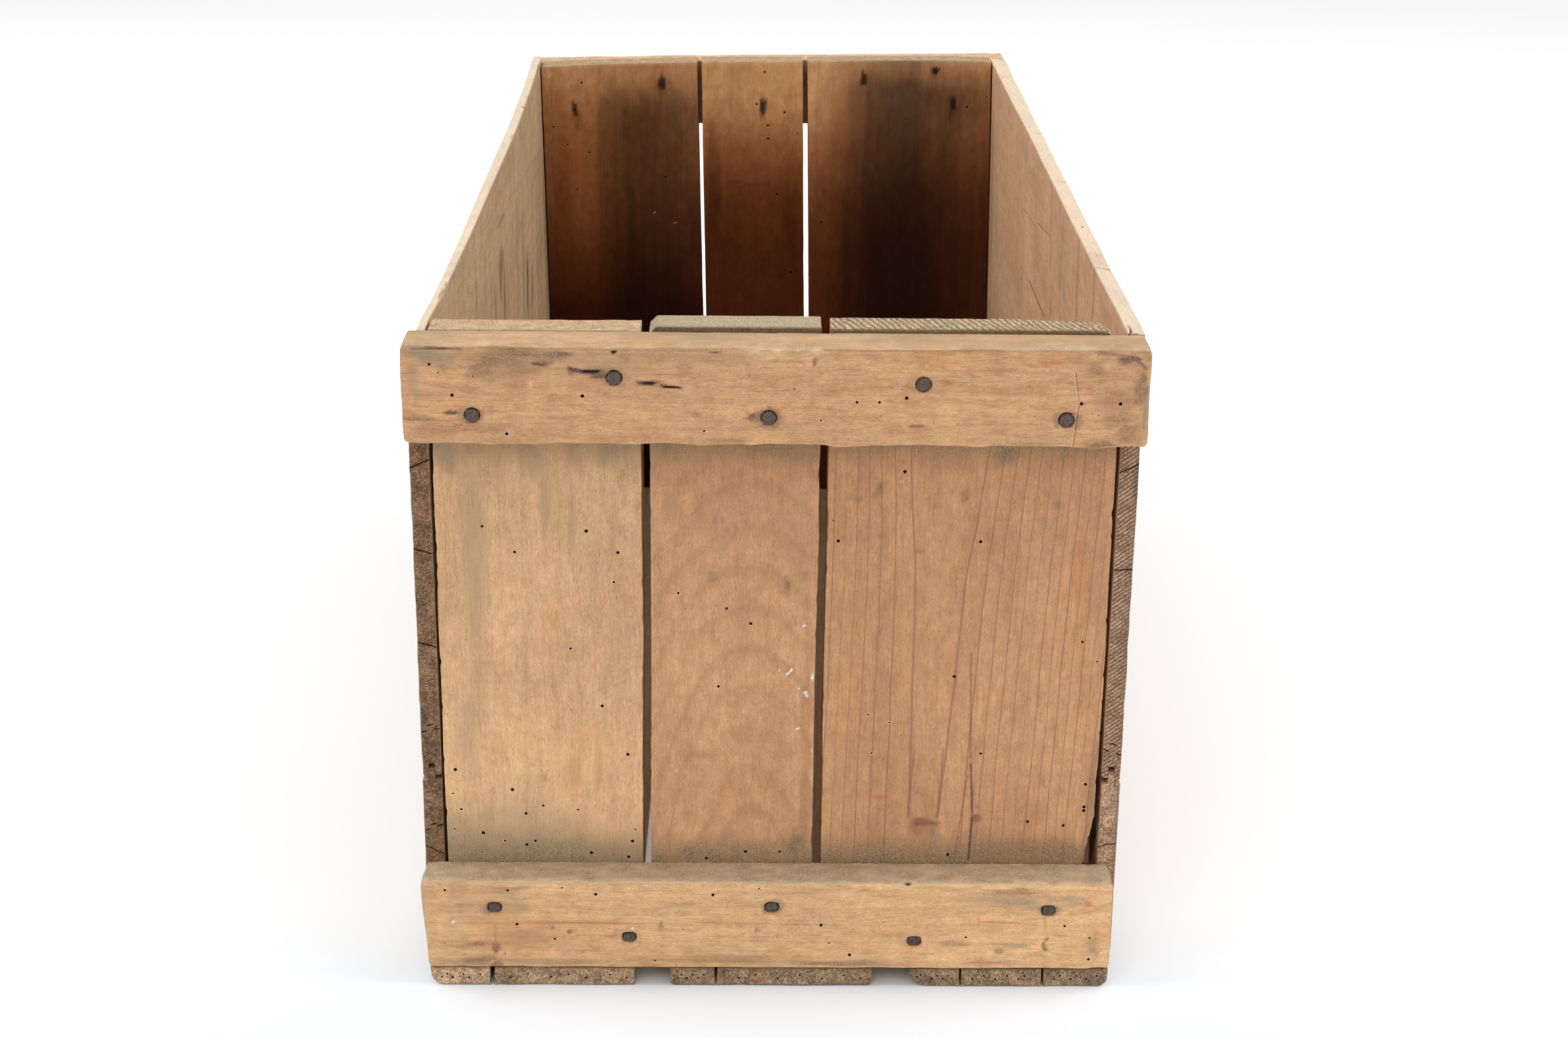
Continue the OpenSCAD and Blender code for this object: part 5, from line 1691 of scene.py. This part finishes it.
def bottoms():
    """The three bottom boards; a shape is told which piece of the split board it works on."""

    def look(name, seed):
        rings = dict(
            at=seed * 3.0, drift=0.01, depth=30.0, dive=0.01, face=0.0, gap=6.0, line=0.12, soft=0.10,
            wave=5.0
        )
        return wood(
            name, Y, (0.52, 0.335, 0.195), (0.33, 0.20, 0.11), seed=seed, streak=0.7, fleck=0.7,
            rings=rings, end=BOTTOM_END, saw=0.3, rough=0.82, relief=1.3
        )

    def left(b, k):
        if k == 1:
            b.pull(X, HIGH, -1.3, 20)
            b.f["tone"] *= 1 + 0.3 * b.f["end"]
        if k == 0:
            b.pull(X, LOW, 1.0, 20)
            rounded_under(b, LOW, 7.0)
            b.f["tone"] *= 1 + 0.85 * b.f["end"]
            b.f["stain_and_shade"] *= 1 - 0.6 * b.f["end"]

    def centre(b, k):
        if k == 0:
            b.pull(X, LOW, 0.4, 10)
            rounded_under(b, LOW, 2.2)
        else:
            rounded_under(b, HIGH, 2.6)

    def right(b, k):
        if k == 0:
            rounded_under(b, LOW, 8.6)
            b.lift("stain_and_shade", 0.5 * smooth(12, 3, b.depth(X, LOW)))
        if k == 2:
            b.pull(X, HIGH, 1.6, 20)
            rounded_under(b, HIGH, 5.5)

    for side, seed, look_seed, shape, splits in (
        ("left", 130, 13.1, left, ((-127.8, 1.9, 190.0),)),
        ("centre", 140, 14.7, centre, ((-25.2, 1.0, 150.0),)),
        ("right", 150, 15.9, right, ((87.3, 0.8, 120.0), (125.2, 0.9, 160.0))),
    ):
        bottom_board("bottom_board_" + side, seed, splits, shape, look("wood_bottom_" + side, look_seed))


# ---------------------------------------------------------------- nails

AROUND = 28
SHANK, CUT_SHANK = 1.3, 1.35
# Depth in mm and width of a head's rings of points, and of the shank's rings just under the head
HEAD_RINGS = (
    (-0.16, 0.33), (-0.14, 0.62), (-0.06, 0.82), (0.08, 0.94), (0.34, 1.0), (0.80, 1.0), (1.15, 0.93),
)
NECK_RINGS = ((1.30, 1.25), (2.20, 1.0))


def nail(origin, direction, length, cut, seed):
    """Points (mm) and faces of one nail; its head faces against the direction."""
    w = np.array(direction, float)
    u = np.cross(w, (0, 0, 1.0)) if abs(w[2]) < 0.5 else np.array((1.0, 0, 0))
    v = np.cross(w, u)
    head, shank = (CUT_R, CUT_SHANK) if cut else (WIRE_R, SHANK)
    point_rings = ((length * 0.5, 1.0), (length - 4.0, 1.0), (length - 1.4, 0.55))
    shank_rings = [(t, shank * scale / head) for t, scale in NECK_RINGS + point_rings]
    rings = [*HEAD_RINGS, *shank_rings, (length, 0.10 / head)]
    angle = np.arange(AROUND) * 2 * math.pi / AROUND
    ca, sa = np.cos(angle), np.sin(angle)
    outline = np.ones(AROUND)
    if cut:
        outline = 1 / (np.abs(ca / 0.96) ** 3.0 + np.abs(sa / 0.76) ** 3.0) ** (1 / 3.0)
    circle = np.stack([ca * 3, sa * 3, np.full(AROUND, seed * 3.3)], 1)
    outline = outline * (0.97 + (0.15 if cut else 0.12) * noise(circle, 1.6, 200 + seed, 3))
    tilt = 0.05 + 0.04 * math.sin(seed * 2.7)
    spokes = ca[:, None] * u + sa[:, None] * v
    points = [[np.array(origin) + w * -0.17]]
    for k, (t, scale) in enumerate(rings):
        r = head * scale * outline
        lean = pits = 0
        if k < len(HEAD_RINGS):
            lean = tilt * r * np.cos(angle - seed * 1.9)
            rim = np.stack([ca * r, sa * r, np.full(AROUND, t + seed)], 1)
            pits = 0.07 * noise(rim, 1.2, 230 + seed, 2)
        depth = np.broadcast_to(np.maximum(t + lean + pits + 0.06, -0.25), AROUND)
        points.append(np.array(origin) + w * depth[:, None] + r[:, None] * spokes)
    points.append([np.array(origin) + w * (length + 0.05)])
    points = np.concatenate(points)
    around = [(k, (k + 1) % AROUND) for k in range(AROUND)]
    faces = [(0, 1 + m, 1 + k) for k, m in around]
    for s in range(1, 1 + (len(rings) - 1) * AROUND, AROUND):
        faces += [(s + k, s + m, s + AROUND + m, s + AROUND + k) for k, m in around]
    s, last = 1 + (len(rings) - 1) * AROUND, len(points) - 1
    return points, faces + [(s + k, s + m, last) for k, m in around]


def nail_group(name, places, direction, length, material, seed, cut=False):
    """One piece from several nails; a place is where the top of the head lies."""
    points, faces = [], []
    for k, place in enumerate(places):
        p, q = nail(place, direction, length, cut, seed + k)
        faces += [tuple(i + k * len(p) for i in face) for face in q]
        points.append(p)
    add_piece(name, "_iron", np.concatenate(points), faces, material, SHARP_IRON)


HEAD_SINK, POINT_OUT, WALL_NAIL = 0.3, 0.6, 34.0


def nails():
    """All groups of nails, at the places of the CAD part."""
    wire = iron("iron_wire", (0.215, 0.150, 0.120), (0.065, 0.046, 0.040), 1.3)
    cut = iron("iron_cut", (0.170, 0.125, 0.105), (0.050, 0.036, 0.032), 1.1)
    for end, sign in (("front", -1), ("rear", 1)):
        for level, shift, low_first in (("upper", UPPER_SHIFT, True), ("lower", LOWER_SHIFT, False)):
            batten_name = f"{end}_{level}_batten"
            lo, hi = limits(batten_name)
            y = (lo[Y] if sign < 0 else hi[Y]) - sign * HEAD_SINK
            places = [(x, y, z) for x, z in batten_nails(batten_name, shift, low_first)]
            length = hi[Y] - lo[Y] + END_T + POINT_OUT - HEAD_SINK
            group, is_cut = f"{batten_name}_nails", level == "lower"
            material = cut if is_cut else wire
            nail_group(group, places, (0, -sign, 0), length, material, len(group) + 3 * sign, is_cut)
        for wall, side in (("left", -1), ("right", 1)):
            x = side * (limits("right_wall_upper_board")[1][X] - HEAD_SINK)
            places = [(x, sign * NAIL_Y, z) for z in WALL_NAILS_Z]
            group, seed = f"{wall}_wall_{end}_nails", 40 + 7 * side + 3 * sign
            nail_group(group, places, (-side, 0, 0), WALL_NAIL, wire, seed)
        places = []
        for board in ("left", "centre", "right"):
            lo, hi = limits("bottom_board_" + board)
            for step in NAIL_STEPS:
                y = sign * (NAIL_Y if step else NAIL_Y + END_T)
                places.append(((lo[X] + hi[X]) / 2 + step, y, HEAD_SINK))
        nail_group(f"bottom_{end}_nails", places, (0, 0, 1), WALL_NAIL, wire, 70 + 3 * sign)


# ---------------------------------------------------------------- stage, light and camera


FLOOR_HALF = 14.0
FLOOR_FRONT, FLOOR_NEAR, FLOOR_FAR = (0.770, 0.820, 0.868), (0.930, 0.950, 0.972), (0.975, 0.975, 0.975)
SURROUNDING = 0.76
# Name, place and target in metres, width and height in metres, watts
SOFTBOXES = (
    ("key", (-0.6, -2.5, 2.3), (0, -0.2, 0.15), (2.0, 1.4), 15),
    ("left", (-2.0, -0.1, 2.1), (0.1, 0, 0.15), (1.6, 1.8), 36),
    ("right", (2.0, -0.1, 2.1), (-0.1, 0, 0.15), (1.6, 1.8), 38),
)
CAMERA_PLACE = (-0.01082, -1.38533, 0.61117)
CAMERA_YAW, CAMERA_PITCH, CAMERA_ROLL = 0.813, 20.208, 0.619
SENSOR, LENS = 36.0, 58.973


def stage():
    """A pale paper floor, painted darker in front of the crate and towards the camera as painted shade."""
    mesh = bpy.data.meshes.new("floor")
    s = FLOOR_HALF
    mesh.from_pydata([(-s, -s, 0), (s, -s, 0), (s, s, 0), (-s, s, 0)], [], [(0, 1, 2, 3)])
    g = Graph("floor_paper")
    place = g.place()
    grain = g.noise(place, (9.0, 9.0, 9.0), 2)
    _, y, _ = g.split(place)
    # Painted shade: darker and bluer in front of the crate, lighter far off
    colour = g.mix(g.ramp(y, -0.42, -0.26), FLOOR_FRONT, FLOOR_NEAR)
    colour = g.mix(g.ramp(y + grain * 0.1, 0.0, 1.6), colour, FLOOR_FAR)
    mesh.materials.append(g.finish(colour, 0.9, g.bump(grain, 0.02), 0.0, 0.1))
    floor = bpy.data.objects.new("floor", mesh)
    bpy.context.scene.collection.objects.link(floor)


def light():
    """Three large soft lamps and a white surrounding."""
    world = bpy.data.worlds.new("studio")
    bpy.context.scene.world = world
    world.use_nodes = True
    background = world.node_tree.nodes["Background"]
    background.inputs[0].default_value = (1.0, 1.0, 1.0, 1)
    background.inputs[1].default_value = SURROUNDING
    for name, place, target, size, watts in SOFTBOXES:
        data = bpy.data.lights.new(name, "AREA")
        data.shape, data.size, data.size_y = "RECTANGLE", size[0], size[1]
        data.energy = watts
        lamp = bpy.data.objects.new(name, data)
        lamp.location = place
        direction = Vector(target) - Vector(place)
        lamp.rotation_euler = direction.to_track_quat("-Z", "Y").to_euler()
        bpy.context.scene.collection.objects.link(lamp)


def camera():
    """The camera that took the photo."""
    yaw, pitch, roll = (math.radians(a) for a in (CAMERA_YAW, CAMERA_PITCH, CAMERA_ROLL))
    forward = Vector((math.sin(yaw) * math.cos(pitch), math.cos(yaw) * math.cos(pitch), -math.sin(pitch)))
    right = Vector((math.cos(yaw), -math.sin(yaw), 0))
    up = right.cross(forward)
    across = math.cos(roll) * right + math.sin(roll) * up
    over = -math.sin(roll) * right + math.cos(roll) * up
    data = bpy.data.cameras.new("camera")
    data.sensor_fit, data.sensor_width, data.lens = "HORIZONTAL", SENSOR, LENS
    data.clip_start, data.clip_end = 0.05, 60
    made = bpy.data.objects.new("camera", data)
    columns = (across, over, -forward, Vector(CAMERA_PLACE))
    made.matrix_world = Matrix([*([c[row] for c in columns] for row in range(3)), (0, 0, 0, 1)])
    bpy.context.scene.collection.objects.link(made)
    bpy.context.scene.camera = made


front_left()
front_centre()
front_right()
rear_left()
rear_centre()
rear_right()
front_upper()
front_lower()
rear_batten("rear_upper_batten", 90, UPPER_SHIFT, True, False, rear_upper_shape)
rear_batten("rear_lower_batten", 95, LOWER_SHIFT, False, True, plain_shape(96))
left_wall()
right_wall()
bottoms()
nails()
stage()
light()
camera()
bpy.context.scene.view_settings.view_transform = "Standard"
